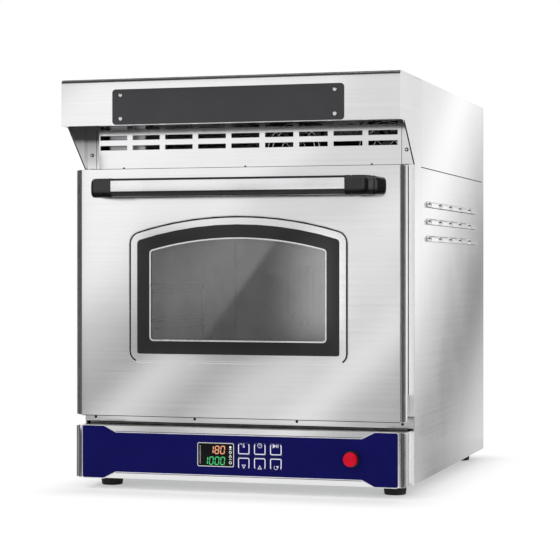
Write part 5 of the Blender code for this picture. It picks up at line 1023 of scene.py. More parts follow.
def bracket(side):
    """path(s) + width(s) |cos|^(2/4.5) across + height(s) |sin|^(2/2.9) up, signs kept."""
    low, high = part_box("handle_bracket_right")
    front = low.y + 0.2 * MM
    foot_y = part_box("door_outer_skin")[0].y - 0.2 * MM
    outer = np.array([(low.x, front), (low.x + 16 * MM, front), (high.x - 27 * MM, front),
                      (high.x - 21.5 * MM, front + 2 * MM), (high.x - 14.5 * MM, front + 18 * MM),
                      (high.x - 8 * MM, front + 36 * MM), (high.x - 2 * MM, foot_y)])
    inner = np.array([(low.x, front + 17.6 * MM), (low.x + 10 * MM, front + 17.6 * MM),
                      (low.x + 17 * MM, front + 19 * MM), (low.x + 22 * MM, front + 24 * MM),
                      (low.x + 27 * MM, front + 33 * MM), (low.x + 32 * MM, front + 46 * MM),
                      (high.x - 24 * MM, foot_y)])
    s, basis = along_knots(len(outer))
    middle, half = basis @ (outer + inner) / 2, basis @ (outer - inner) / 2
    lean = np.clip((s - LEAN_START) / (1 - LEAN_START), 0, 1)
    taper = 1 - LEAN * lean ** 2 * (3 - 2 * lean)
    sleeve = 1 - sum(depth * np.exp(-((s - place) / width) ** 2) for place, width, depth in GROOVES)
    angle = np.linspace(0, 2 * np.pi, 48, endpoint=False)
    across, up = superellipse(angle, POWER_ACROSS)[0], superellipse(angle, POWER_UP)[1]
    plan = middle[:, None] + (half * sleeve[:, None])[:, None] * across[None, :, None]
    z = (low.z + high.z) / 2 + (high.z - low.z) / 2 * (sleeve * taper)[:, None] * up[None]
    return loft(np.stack([side * plan[..., 0], plan[..., 1], z], axis=2))


for side, label in SIDES:
    piece("handle_end_" + label, bracket(side), "moulded_black", "door",
          ["handle_bracket_" + label])

# %% [markdown]
# ## The window's groove
# A groove is pressed into the door round the window, in the window's own shape. The CAD
# has its straight-sided channel. A dark strip lies on the channel's floor as painted shade,
# except along the window's foot, and a bright rounded bead on the channel's outer side
# catches the light.

# %% Groove and window outline
BORDER_GAP, ARCH_RISE = 0.3 * MM, 27.3 * MM
SMALLEST_ROUND, STILE = 2 * MM, 60 * MM
GROOVE_MIDDLE, GROOVE_DEPTH, GROOVE_BEAD = 13 * MM, 0.7 * MM, 15.1 * MM
LINE_START, FOOT_POINTS = 12, 5
border_low, border_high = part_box("window_border")
WINDOW_HALF = border_high.x + BORDER_GAP
WINDOW_SILL = border_low.z - BORDER_GAP
WINDOW_APEX = border_high.z + BORDER_GAP


def arched(grow, corner=4 * MM, shoulder=7 * MM, pane_corner=6 * MM, steps=48):
    """The window's outline moved outward: sill, two stiles, and an arch of one circle."""
    if grow < -10 * MM:
        corner = shoulder = pane_corner - grow
    corner = max(corner + grow, SMALLEST_ROUND)
    bend = max(shoulder + grow, SMALLEST_ROUND)
    half, sill = WINDOW_HALF + grow, WINDOW_SILL - grow
    radius = (WINDOW_HALF ** 2 + ARCH_RISE ** 2) / (2 * ARCH_RISE)
    centre_z, reach = WINDOW_APEX - radius, radius + grow
    foot = rounded([(-half, sill, corner), (half, sill, corner),
                    (half, sill + STILE, 0), (-half, sill + STILE, 0)])[:18]
    pivot_x = half - bend
    pivot_z = centre_z + math.sqrt((reach - bend) ** 2 - pivot_x ** 2)
    tangent = math.atan2(pivot_x, pivot_z - centre_z)
    turn = np.linspace(0, np.pi / 2 - tangent, 9)
    right = np.stack([pivot_x + bend * np.cos(turn), pivot_z + bend * np.sin(turn)], axis=1)
    sweep = np.linspace(tangent, -tangent, steps)[1:-1]
    crown = np.stack([reach * np.sin(sweep), centre_z + reach * np.cos(sweep)], axis=1)
    return np.concatenate([foot, right, crown, right[::-1] * (-1, 1)])


door_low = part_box("door_outer_skin")[0]
groove_outline = np.roll(arched(GROOVE_MIDDLE), -LINE_START, axis=0)[:-FOOT_POINTS]
groove_path = upright(groove_outline, door_low.y + GROOVE_DEPTH)
# painted shade: a dark strip on the groove's floor, left out along the window's foot
piece("groove_shade_line", swept(groove_path, strip_profile(2.8 * MM, 0.25 * MM), FACING), "rubber", "door")
bead_path = upright(arched(GROOVE_BEAD), door_low.y + 0.25 * MM)
piece("groove_bead", swept(bead_path, ring_profile(0.55 * MM), FACING, True), "aluminium", "door")

# %% [markdown]
# ## The silver line on the glass
# Inside the black border a thin silver line runs round the clear part of the pane. The
# CAD has it as a stepped band; here it is a band with cut edges along the same outline.

# %% Silver line
line_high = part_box("silver_line")[1]
line_middle = line_high.x - border_high.x - BORDER_GAP - 0.85 * MM
silver = swept(upright(arched(line_middle), line_high.y - 0.1 * MM),
               strip_profile(2.9 * MM, 1.4 * MM, 0.4), FACING, True)
piece("silver_line_band", silver, "silver_print", "door", ["silver_line"])

# %% [markdown]
# ## Closing strips
# Behind the folded edge of the door and of the control box an angle of steel closes the
# way, and without it one would look into a dark slot. Its pale, nearly matt tone stands in
# for the steel's bright reflection: painted sheen. One leg lies flat on the frame, the other
# stands out just inside the sheet's edge and carries a thin dark seal, which stands in for
# the shade in the gap: painted shade. At the hinge, where the door's foot swings, the
# standing leg and its seal stop, and only the flat leg goes on. The door and the control box
# have a grey edge trim on both sides, painted shade along their folded edges. A soft grey
# gasket fills the narrow slot between the rail and the control box, painted shade where the
# box's top lies in shade, and a dark bead runs along the door's foot, painted shade under
# its edge.

# %% Closing strips, painted sheen and painted shade
STRIP_GAUGE, STRIP_INNER, STRIP_OUTER, STRIP_BACK = 0.8 * MM, 281 * MM, 299.8 * MM, 0.3 * MM
STRIPS = ((292.9, 27.8, 172, 561.6), (292.9, 1.3, 136, 171.9), (293.0, 19.6, 22, 111))
SHADE_SEALS = ((292.9, 18, 173, 560), (293.0, 17.6, 23, 110))
SHADE_TRIM_WIDTH, SHADE_TRIM_THICK, SHADE_TRIM_OFF, SHADE_TRIM_MIDDLE, SHADE_TRIM_SHORT = (n * MM for n in (5.6, 1.6, 0.3, 3.4, 1))
SHADE_GASKET_Z, SHADE_GASKET_DEPTH, FOOT_SHADE_BEAD_DEPTH, FOOT_SHADE_BEAD_DROP = (n * MM for n in (113.7, 4, 49.6, 0.5))


def closing_strip(edge_x, stands, low_z, high_z):
    """A T outline in (x, y), a flat foot and a standing leg, carried up in Z."""
    back = FRONT - STRIP_BACK
    face, inner, edge_y = back - STRIP_GAUGE, edge_x - STRIP_GAUGE, FRONT - stands
    outline = [(STRIP_INNER, back), (STRIP_INNER, face), (inner, face), (inner, edge_y),
               (edge_x, edge_y), (edge_x, face), (STRIP_OUTER, face), (STRIP_OUTER, back)]
    return loft(np.stack([np.column_stack([outline, np.full(len(outline), z)])
                          for z in (low_z, high_z)]))


strips = [mirrored(closing_strip(*(n * MM for n in sizes))) for sizes in STRIPS]
# painted sheen: the strips take a pale, nearly matt tone in place of the steel's reflection
piece("closing_strips", joined(*strips), "pale_steel_painted_sheen")
# painted shade: dark seals in the gaps beside the door and the box
shade_seals = [mirrored(upright_bead(x * MM, FRONT - depth * MM, low * MM, high * MM, 1.4 * MM, (1, 0, 0)))
         for x, depth, low, high in SHADE_SEALS]
piece("strip_shade_seals", joined(*shade_seals), "rubber")


def edge_shade_trims(node):
    """A flat upright dark strip with round edges on a node's right side, and its mirror image: painted
    shade.
    """
    low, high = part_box(node)
    foot = np.array([high.x + SHADE_TRIM_OFF, low.y + SHADE_TRIM_MIDDLE, low.z + SHADE_TRIM_SHORT])
    head = foot + (0, 0, high.z - low.z - 2 * SHADE_TRIM_SHORT)
    section = rectangle((0, 0), (SHADE_TRIM_WIDTH, SHADE_TRIM_THICK), 0.7 * MM, 3)
    return mirrored(swept([foot, head], section, (1, 0, 0)))


# painted shade: dark grey trims along the door's and the box's folded edges
piece("door_edge_shade_trims", edge_shade_trims("door_outer_skin"), "seal_grey", "door")
piece("box_edge_shade_trims", edge_shade_trims("control_box"), "seal_grey")
# painted shade: a dark bead under the door's foot
foot_shade_bead = level_bead(286 * MM, FRONT - FOOT_SHADE_BEAD_DEPTH, door_low.z - FOOT_SHADE_BEAD_DROP, 0.8 * MM)
piece("door_foot_shade_bead", foot_shade_bead, "rubber", "door")
# painted shade: a grey gasket in the slot between the rail and the box
shade_gasket_path = [(x * MM, FRONT - SHADE_GASKET_DEPTH, SHADE_GASKET_Z) for x in (-288, 288)]
shade_gasket = swept(shade_gasket_path, rectangle((0, 0), (2.6 * MM, 4 * MM), 0.8 * MM, 3), FACING)
piece("box_shade_gasket", shade_gasket, "seal_grey")

# %% [markdown]
# ## The rear air filters
# Behind the slots of the back sit two filter pads. Fine cloth is folded to and fro to give
# it more area, so a pad is a sheet whose depth follows a sine as it goes across.

# %% Filter pads
PAD_DROPS, PAD_HALF_HEIGHT, PAD_BACK, PAD_THICK = (93, 383), 36, 652.6 * MM, 0.8 * MM


def pleated_pad(low_z, high_z, half_width=172 * MM, pleat=4 * MM, depth=1.6 * MM):
    """y = back + depth (sin(2 pi x / pleat) - 1) / 2, as a sheet of constant thickness."""
    x = np.linspace(-half_width, half_width, 517)
    fold = FRONT + PAD_BACK + depth * (np.sin(2 * np.pi * x / pleat) - 1) / 2
    face = fold - PAD_THICK
    ring = [np.stack([x, y, np.full(len(x), z)], axis=1)
            for y, z in ((fold, low_z), (fold, high_z), (face, high_z), (face, low_z))]
    return loft(np.stack(ring, axis=1))


panel_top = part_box("rear_panel")[1].z
pads = [pleated_pad(*(panel_top - (drop + end) * MM for end in (PAD_HALF_HEIGHT, -PAD_HALF_HEIGHT)))
        for drop in PAD_DROPS]
piece("rear_filter_pads", joined(*pads), "dark_plate")

# %% [markdown]
# ## The printed film
# The film is navy, with a thin silver line along its edge, and its ends are taller than
# its middle. Above and below the middle, thin lines are printed on the steel. The film's
# own solid stays; the lines are low bands on it.

# %% Film lines
END_WIDTH, SLOPE_WIDTH, STEP = 39.5 * MM, 22.1 * MM, 11.2 * MM
STEP_ROUND, END_ROUND, BAND_AWAY = 4 * MM, 3 * MM, 2.2 * MM
film_low, film_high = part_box("control_film")
box_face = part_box("control_box")[0].y


def film_outline(grow):
    """The film's outline moved by a distance: tall ends, sloped steps, a low middle."""
    half, low, high = film_high.x, film_low.z, film_high.z
    outer, inner = half - END_WIDTH, half - END_WIDTH - SLOPE_WIDTH
    right = [(inner, low + STEP, STEP_ROUND), (outer, low, END_ROUND), (half, low, END_ROUND),
             (half, high, END_ROUND), (outer, high, END_ROUND), (inner, high - STEP, STEP_ROUND)]
    left = [(-x, z, r) for x, z, r in right[::-1]]
    return inset(rounded(right + left, 4), -grow)


def stroke(points, width, face, height=0.12 * MM, closed=False):
    """A drawn line of constant width through (x, z) points."""
    return swept(upright(points, face), strip_profile(width, height), FACING, closed)


edge_line = stroke(film_outline(0.95 * MM), 1.7 * MM, box_face, 0.5 * MM, closed=True)
band_reach = film_high.x - END_WIDTH - SLOPE_WIDTH - 1 * MM + BAND_AWAY
band_lines = [stroke([(-band_reach, z), (band_reach, z)], 1.0 * MM, box_face, 0.25 * MM)
              for z in (film_low.z + STEP - BAND_AWAY, film_high.z - STEP + BAND_AWAY)]
piece("film_edge_line", edge_line, "silver_print")
piece("film_band_lines", joined(*band_lines), "navy_film")

# %% [markdown]
# ## The display
# A silver frame surrounds the black display. Its digits are made of seven bars each, as
# on a real one: a bar is a stretched hexagon, and a small table says which bars are lit
# for a digit. The upper row is the warm one, the lower row is green.

# %% Display digits
PRINT_HEIGHT, PRINT_SOFT = 0.12 * MM, 0.03 * MM
DIGIT_HEIGHT, DIGIT_WIDTH, DIGIT_PITCH = 12.6 * MM, 6.6 * MM, 10.2 * MM
DIGIT_LEAN, BAR_WIDTH, BAR_GAP = 0.10, 1.7 * MM, 0.35 * MM
BARS = {"top": (0.5, 1, 0), "upper_right": (1, 0.75, 1), "lower_right": (1, 0.25, 1),
        "bottom": (0.5, 0, 0), "lower_left": (0, 0.25, 1), "upper_left": (0, 0.75, 1),
        "middle": (0.5, 0.5, 0)}
LIT_BARS = {"0": [name for name in BARS if name != "middle"],
            "1": ["upper_right", "lower_right"],
            "8": list(BARS)}
display_low, display_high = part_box("display")
DISPLAY_FACE = display_low.y
display_x, display_z = middle_of(display_low, display_high)
first_place = display_x + 19.6 * MM - 4 * DIGIT_PITCH


def on_display(outline):
    """A thin plate with this outline on the display's face."""
    return plate(outline, DISPLAY_FACE, DISPLAY_FACE - PRINT_HEIGHT, PRINT_SOFT)


def bar_shape(centre, length, stands):
    """A stretched hexagon, level or standing."""
    half, tip = length / 2, BAR_WIDTH / 2
    outline = np.array([(-half, 0), (tip - half, -tip), (half - tip, -tip), (half, 0),
                        (half - tip, tip), (tip - half, tip)])
    if stands:
        outline = outline[:, ::-1] * (-1, 1)
    return on_display(outline + centre)


def digit(sign, left, foot):
    """The lit bars of one digit, leaning a little to the right."""
    shapes = []
    for name in LIT_BARS[sign]:
        a, b, stands = BARS[name]
        lean = DIGIT_LEAN * DIGIT_HEIGHT * (b - 0.5)
        length = (DIGIT_HEIGHT / 2 if stands else DIGIT_WIDTH) - BAR_GAP
        shapes.append(bar_shape((left + a * DIGIT_WIDTH + lean, foot + b * DIGIT_HEIGHT), length, stands))
    return joined(*shapes)


for row, signs, first, foot in (("upper", "180", 1, 2.2 * MM), ("lower", "1000", 0, -16.6 * MM)):
    digits = [digit(sign, first_place + place * DIGIT_PITCH, display_z + foot)
              for place, sign in enumerate(signs, first)]
    piece(f"display_{row}_digits", joined(*digits), {"upper": "warm_digits", "lower": "green_digits"}[row])
frame_line = stroke(rectangle((display_x, display_z), (65.0 * MM, 39.9 * MM), 2.6 * MM), 1.3 * MM,
                    DISPLAY_FACE + 0.1 * MM, 0.3 * MM, closed=True)
piece("display_frame", frame_line, "silver_print")

# %% [markdown]
# Six small white signs stand in a column beside the digits, and a ladder of fine marks
# stands at the left. They are plain shapes: a dot, two rings, a bar, a triangle and an
# angle. A sign is a list of lines, each with its points, its width and a word that says
# whether it closes on itself, all in millimetres about the sign's own middle.

# %% Display marks
SIGN_STEPS = 24


def drawn(lines, centre, face):
    """The strokes of a sign, its points moved to the centre."""
    return joined(*(stroke(np.asarray(points, float) * MM + centre, width * MM, face, closed=closed)
                    for points, width, closed in lines))


def loop(x, z, radius, width):
    """A round line of a sign."""
    return circle((x, z), radius, SIGN_STEPS), width, True


MARKS = [([(-2.2, 9.6), (2.2, 9.6)], 0.9, False), loop(0, 4.6, 2.0, 0.8),
         ([(-2.4, -3.4), (2.4, -3.4), (0, 0.4)], 0.7, True),
         ([(-2.2, -8.0), (0, -6.2), (2.2, -8.0)], 0.8, False), loop(0, -13.0, 2.1, 0.8)]
LADDER = [([(-0.9, z), (0.9, z)], 0.45, False) for z in np.linspace(-15, 15, 16)]
mark_x, ladder_x = display_x + 26.6 * MM, display_x - 28.0 * MM
marks = [on_display(circle((mark_x, display_z + 13.4 * MM), 2.0 * MM, 16)),
         drawn(MARKS, (mark_x, display_z), DISPLAY_FACE),
         drawn(LADDER, (ladder_x, display_z), DISPLAY_FACE)]
piece("display_marks", joined(*marks), "white_signs")

# %% [markdown]
# ## The keys' outlines and signs
# Each key has a U-shaped outline, open at the top in the upper row and at the bottom in
# the lower row, and a plain sign in the opening. They are printed on the key, so they
# ride on the key's own body and travel with it.

# %% Key signs
KEY_LINE, KEY_HALF_WIDTH, KEY_HALF_HEIGHT, KEY_ROUND = 1.6 * MM, 9.4 * MM, 8.2 * MM, 2 * MM
KEY_GAP_HALF, SIGN_OFF = 5.4 * MM, 6.4 * MM
arrow_turn = np.radians(np.linspace(-250, 40, 22))
KEY_SIGNS = {
    "thermometer": [([(0, -1.2), (0, 3.1)], 1.3, False), loop(0, -2.2, 1.3, 1.1),
                    ([(-6.2, 2.9), (-2.6, 0.9)], 1.1, False)],
    "clock": [loop(0, 0, 3.7, 0.8), ([(0, 2.6), (0, 0), (2.0, 0)], 0.7, False)],
    "play and pause": [([(-4.6, -2.4), (-0.6, 0), (-4.6, 2.4)], 1.5, True),
                       ([(1.6, -2.8), (1.6, 2.8)], 1.1, False),
                       ([(4.0, -2.8), (4.0, 2.8)], 1.1, False)],
    "down": [([(-2.9, 2.9), (2.9, 2.9), (0, -2.4)], 1.0, True)],
    "up": [([(-2.9, -2.9), (2.9, -2.9), (0, 2.4)], 1.0, True)],
    "turn": [(3.2 * np.stack([np.cos(arrow_turn), np.sin(arrow_turn)], axis=1), 0.8, False),
             ([(0.9, 2.2), (4.6, 2.6), (3.4, -0.9)], 0.8, True)],
}
for number, lines in enumerate(KEY_SIGNS.values(), 1):
    low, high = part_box(f"key_{number}")
    x, z = middle_of(low, high)
    way = 1 if number <= 3 else -1
    open_z, far_z = z + way * KEY_HALF_HEIGHT, z - way * KEY_HALF_HEIGHT
    left, right = x - KEY_HALF_WIDTH, x + KEY_HALF_WIDTH
    outline = rounded([(x - KEY_GAP_HALF, open_z, 0), (left, open_z, KEY_ROUND),
                       (left, far_z, KEY_ROUND), (right, far_z, KEY_ROUND),
                       (right, open_z, KEY_ROUND), (x + KEY_GAP_HALF, open_z, 0)], 4)
    print_shape = joined(stroke(outline, KEY_LINE, low.y), drawn(lines, (x, z + way * SIGN_OFF), low.y))
    piece(f"key_{number}_print", print_shape, "key_signs", f"key_{number}_body")

# %% [markdown]
# ## The push button
# A red mushroom cap, domed at its rim and dished in its middle, runs in a black collar.
# Both are turned. The collar has a rounded rim, and fine ribs would be lost at this size.

# %% Button and collar
DISH_RADIUS, DISH_DEPTH, CAP_RADIUS, RIM_WIDTH, RIM_DEPTH = 6.0, 1.6, 8.8, 3.4, 3.0
CAP_STEM = [(12.2, 6.0), (11.7, 6.5), (6.8, 6.5), (6.8, 25.4), (0, 25.4)]
COLLAR_RADIUS, COLLAR_ROUND = 13.0, 1.2
COLLAR_BORE = [(7.1, 10.8), (7.1, 0.4), (7.5, 0)]
COLLAR_BACK = [(14.2, 2.8), (10.0, 2.8), (10.0, 10.8), (7.1, 10.8)]
cap_low, cap_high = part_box("button_cap")
button_x, button_z = middle_of(cap_low, cap_high)


def rounded_rim(radius, width, depth, steps):
    """A quarter round: radius + width sin a out, depth (1 - cos a) back."""
    bend = np.linspace(0, np.pi / 2, steps)
    return np.stack([radius + width * np.sin(bend), depth * (1 - np.cos(bend))], axis=1)


def turned_button(profile, front):
    """A profile in millimetres, turned about the button's axis."""
    return turned(profile * MM, (button_x, front, button_z), "y", 64)


share = np.linspace(0, 1, 9)
dish = np.stack([DISH_RADIUS * share, DISH_DEPTH * (1 + np.cos(np.pi * share)) / 2], axis=1)
cap = np.concatenate([dish, rounded_rim(CAP_RADIUS, RIM_WIDTH, RIM_DEPTH, 9), CAP_STEM])
piece("button_cap_turned", turned_button(cap, cap_low.y), "red_plastic", "push_button", ["button_cap"])
collar_rim = rounded_rim(COLLAR_RADIUS, COLLAR_ROUND, COLLAR_ROUND, 7)
collar = np.concatenate([COLLAR_BORE, collar_rim, COLLAR_BACK])
piece("button_collar_turned", turned_button(collar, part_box("button_collar")[0].y), "black_plastic",
      stands_for=["button_collar"])

# %% [markdown]
# ## The cooling fans
# Two axial fans blow out behind the grille. A frame is a square ring with a round bore:
# its grid runs round the fan, and each ring of points is a blend of a circle and a
# rounded square. The guard in front is bent wire, four rings and a diagonal cross, and
# the motor hangs on four spokes.

# %% Fan frame and guard
FAN_FRAME, FAN_SET_BACK = 48 * MM, 0.9 * MM
GUARD_SHARES, GUARD_WIRE = (0.115, 0.458, 0.802, 0.969), 0.85 * MM
FRAME_RINGS = ((45.5, 0, 0), (47.0, 0.9, 0), (48, 1, 0.8), (48, 1, 3.8), (46.4, 0.35, 4.2),
               (46.4, 0.0, 20.8), (48, 1, 21.2), (48, 1, 24.4), (47.2, 1, 25), (44.5, 0, 25),
               (44.5, 0, 2.0))
HUB_PROFILE = [(0, 0), (17.5, 0), (18.5, 1), (18.5, 3), (0, 3)]
HUB_BACK, SPOKE_BACK, SPOKE_NEAR, SPOKE_FAR = (n * MM for n in (3.2, 1.8, 17, 45))


def fan_frame(x, z, front):
    """Rings from the bore to the square rim: (1 - k) circle + k superellipse of power 12."""
    round_ring = circle((0, 0), 1, 96)
    square = round_ring / (np.abs(round_ring) ** 12).sum(axis=1)[:, None] ** (1 / 12)
    rows = [upright(radius * MM * ((1 - k) * round_ring + k * square) + (x, z), front + depth * MM)
            for radius, k, depth in FRAME_RINGS]
    return grid(np.stack(rows), closed_rows=True, closed_columns=True)


def fan_guard(x, z, front):
    """Wire rings about the fan's axis and two diagonals, all in the plane of the front."""
    wire = ring_profile(GUARD_WIRE, 8)
    shapes = [swept(upright(circle((x, z), FAN_FRAME * share, 64), front), wire, FACING, True)
              for share in GUARD_SHARES]
    reach = FAN_FRAME * GUARD_SHARES[-1] * math.sqrt(0.5)
    for way in (1, -1):
        ends = [(x - reach, front, z - way * reach), (x + reach, front, z + way * reach)]
        shapes.append(swept(ends, wire, FACING))
    return joined(*shapes)


def fan_hub(x, z, back):
    """The motor's round plate on four spokes."""
    shapes = [turned(np.array(HUB_PROFILE) * MM, (x, back - HUB_BACK, z), "y")]
    for way in circle((0, 0), 1, 4):
        ends = upright([(x, z) + SPOKE_NEAR * way, (x, z) + SPOKE_FAR * way], back - SPOKE_BACK)
        shapes.append(swept(ends, ring_profile(1.8 * MM, 8), FACING))
    return joined(*shapes)


def fan_foot(low, high, frame_low_z):
    """The block between the frame and the deck."""
    outline = rectangle(((low.x + high.x) / 2, (low.z + frame_low_z) / 2),
                        (30 * MM, frame_low_z - low.z), 1 * MM)
    return loft(np.stack([upright(outline, low.y + depth * MM) for depth in (3, 12)]))


for number in (1, 2):
    low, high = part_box(f"cooling_fan_{number}")
    x, z, front = (low.x + high.x) / 2, high.z - FAN_FRAME, low.y + FAN_SET_BACK
    housing = joined(fan_frame(x, z, front), fan_hub(x, z, high.y), fan_foot(low, high, z - FAN_FRAME))
    piece(f"cooling_fan_{number}_frame", housing, "black_plastic", stands_for=[f"cooling_fan_{number}"])
    piece(f"cooling_fan_{number}_guard", fan_guard(x, z, front), "chrome_wire")

# %% [markdown]
# ## Fan wheels
# A fan blade is an airfoil that twists: near the hub it stands steep, and at the tip it
# lies flatter, because the tip moves faster. Each blade is a stack of airfoil outlines
# from hub to tip, every one turned by its own pitch.

# %% Cooling rotors
BLADES, BLADE_CHORD, BLADE_ROOT, TIP_GAP = 7, 19 * MM, 15 * MM, 0.2 * MM
PITCH_ROOT, PITCH_TIP = math.radians(48), math.radians(30)
CAMBER, THICKNESS = 0.10, 0.075
WHEEL_RADIUS, WHEEL_FACE, WHEEL_BACK = 16 * MM, 14.6 * MM, 15.4 * MM
FRONT_ROUND, BACK_ROUND = 1.4 * MM, 0.6 * MM


def blade(centre, turn, tip):
    """Airfoil rings: chord (cos a, thickness sin a) turned by the pitch at each radius."""
    x, y, z = centre
    share = np.linspace(0, 1, 9)[:, None]
    angle = np.linspace(0, 2 * np.pi, 20, endpoint=False)[None]
    pitch = PITCH_ROOT + (PITCH_TIP - PITCH_ROOT) * share
    width = BLADE_CHORD * (0.8 + 0.4 * share)
    along = width / 2 * np.cos(angle)
    camber = CAMBER * width * (np.cos(angle) ** 2 - 0.5)
    thick = THICKNESS * width * np.sin(angle) * (1.15 + np.cos(angle)) + camber
    across = along * np.cos(pitch) - thick * np.sin(pitch)
    depth = along * np.sin(pitch) + thick * np.cos(pitch)
    radius = BLADE_ROOT + (tip - BLADE_ROOT) * share + 0 * angle
    spin = turn + across / radius
    return loft(np.stack([x + radius * np.cos(spin), y + depth, z + radius * np.sin(spin)], axis=2))


for number in (1, 2):
    low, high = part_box(f"cooling_rotor_{number}")
    centre, half = tuple((low + high) / 2), (high.y - low.y) / 2
    tip = (high.x - low.x) / 2 - TIP_GAP
    blades = [blade(centre, turn, tip) for turn in np.arange(BLADES) * 2 * np.pi / BLADES]
    hub = turned([(0, -half), (WHEEL_FACE, -half), (WHEEL_RADIUS, FRONT_ROUND - half),
                  (WHEEL_RADIUS, half - BACK_ROUND), (WHEEL_BACK, half), (0, half)], centre, "y")
    piece(f"cooling_rotor_{number}_wheel", joined(hub, *blades), "black_plastic",
          f"cooling_wheel_{number}", [f"cooling_rotor_{number}"])

# %% [markdown]
# ## The heating elements
# An element is a thin steel tube, bent to and fro and filled with powder and a hot wire.
# The path is straight runs joined by half circles, and a round section follows it.

# %% Heating elements
TUBE_RADIUS, TUBE_RUNS, FAR_TURN_Y = 4 * MM, 4, FRONT + 380 * MM


def serpentine(low, high):
    """Straight runs along Y at equal spacing, with half-circle turns at their ends."""
    left, right = low.x + TUBE_RADIUS, high.x - TUBE_RADIUS
    pitch = (right - left) / (TUBE_RUNS - 1)
    near_turn_y = low.y + TUBE_RADIUS + pitch / 2
    angle = np.linspace(0, np.pi, 14)
    points = [[(left, high.y)]]
    for run in range(TUBE_RUNS - 1):
        turn_y, way = (near_turn_y, -1) if run % 2 == 0 else (FAR_TURN_Y, 1)
        x = left + run * pitch + pitch / 2 * (1 - np.cos(angle))
        points.append(np.stack([x, turn_y + way * pitch / 2 * np.sin(angle)], axis=1))
    plan = np.concatenate([*points, [(right, high.y)]])
    return np.column_stack([plan, np.full(len(plan), (low.z + high.z) / 2)])


for name in ("upper_heater", "lower_heater"):
    tube = swept(serpentine(*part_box(name)), ring_profile(TUBE_RADIUS, 16), (0, 0, 1))
    piece(name + "_tube", tube, "heater_sheath", stands_for=[name])

# %% [markdown]
# ## The wire guides
# A ladder of chromed wire hangs on each side wall: two uprights and two pairs of level
# wires, welded where they cross. The wires' ends are rounded by a smaller last ring.

# %% Wire guides
GUIDE_RADIUS, UPRIGHT_INSET, PAIR_HALF = 2.25 * MM, 12 * MM, 7.25 * MM
GUIDE_LEVELS = (283.99 * MM, 352.51 * MM)
TAPER_PLACES, TAPER_SIZES = np.array([0, 0.5, 1.6]) * MM, np.array([0.45, 0.85, 1])


def wire(start, end):
    """A round rod between two points, with a short taper at each end."""
    start, end = np.array(start, float), np.array(end, float)
    way = (end - start) / np.linalg.norm(end - start)
    path = np.concatenate([start + TAPER_PLACES[:, None] * way, end - TAPER_PLACES[::-1, None] * way])
    size = np.concatenate([TAPER_SIZES, TAPER_SIZES[::-1]]) * GUIDE_RADIUS
    out = np.array([1.0, 0, 0])
    section = circle((0, 0), 1, 14) @ np.stack([np.cross(way, out), out])
    return loft(path[:, None] + size[:, None, None] * section)


for side, label in SIDES:
    low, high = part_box("rack_guide_" + label)
    wall_x, inner_x = (high.x, low.x) if side > 0 else (low.x, high.x)
    wall_x, inner_x = wall_x - side * GUIDE_RADIUS, inner_x + side * GUIDE_RADIUS
    levels = [middle + way * PAIR_HALF for middle in GUIDE_LEVELS for way in (-1, 1)]
    rods = [wire((wall_x, y, low.z), (wall_x, y, high.z))
            for y in (low.y + UPRIGHT_INSET, high.y - UPRIGHT_INSET)]
    rods += [wire((inner_x, low.y, z), (inner_x, high.y, z)) for z in levels]
    piece("rack_guide_wires_" + label, joined(*rods), "chrome_wire",
          stands_for=["rack_guide_" + label])

# %% [markdown]
# ## The cable gland
# The mains lead comes in through a gland at the back: a hexagon nut, a ribbed cap and a
# rubber throat. A lathe gives the round parts, and where the radius follows the flats of
# a hexagon the same grid gives the nut.

# %% Cable gland
NUT_FLATS, NUT_HEIGHT, NUT_CHAMFER, NUT_GAP, GLAND_PROUD = (n * MM for n in (25.4, 6, 0.6, 0.3, 20))
NUT_POINT, NUT_CUT = 0.60, 0.56
RIBS, RIB_SHARE = 24, 0.02
CAP_RINGS = ((0, 11.2, 1), (0.72, 11.2, 1), (0.8, 10.9, 0), (0.93, 9.6, 0), (1.0, 8.0, 0),
             (1.0, 5.2, 0), (0.2, 5.2, 0))
gland_low, gland_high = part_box("cable_gland")
gland_middle = middle_of(gland_low, gland_high)
gland_tip, gland_seat = gland_high.y, gland_high.y - GLAND_PROUD


def gland_ring(radius, y, steps):
    """A ring round the gland's axis, its radius one number or one for each point."""
    return upright(circle((0, 0), 1, steps) * np.reshape(radius, (-1, 1)) + gland_middle, y)


def hexagon_nut(start, end):
    """Radius = half the flats over cos(angle to the nearest flat), cut by a round."""
    angle = np.linspace(0, 2 * np.pi, 72, endpoint=False)
    fold = (angle + np.pi / 6) % (np.pi / 3) - np.pi / 6
    hexagon = NUT_FLATS / 2 / np.cos(fold)
    rows = [gland_ring(np.minimum(hexagon, NUT_FLATS * cut), y, 72)
            for y, cut in ((start, NUT_CUT), (start + NUT_CHAMFER, NUT_POINT),
                           (end - NUT_CHAMFER, NUT_POINT), (end, NUT_CUT))]
    return loft(np.stack(rows))


def ribbed_cap(start, end):
    """A cap whose radius ripples as it goes round, and which closes to its throat."""
    angle = np.linspace(0, 2 * np.pi, 144, endpoint=False)
    ripple = RIB_SHARE * np.sign(np.sin(RIBS * angle))
    rows = [gland_ring(radius * MM * (1 + rib * ripple), start + share * (end - start), 144)
            for share, radius, rib in CAP_RINGS]
    return loft(np.stack(rows))


gland = joined(hexagon_nut(gland_seat + NUT_GAP, gland_seat + NUT_HEIGHT),
               ribbed_cap(gland_seat + NUT_HEIGHT, gland_tip),
               hexagon_nut(gland_low.y, gland_low.y + NUT_HEIGHT))
piece("cable_gland_turned", gland, "black_plastic", stands_for=["cable_gland"])

# %% [markdown]
# ## Studio: floor, lamps and reflections
# The floor is white and keeps the oven's shadow near it; further out it fades to plain
# white. A world of even light and two soft lamps show a colour about as it is written.
# Steel shows what stands round it, so large cards stand where a photographer puts them:
# they are seen in reflections only, and give the sheets their slanting bands.

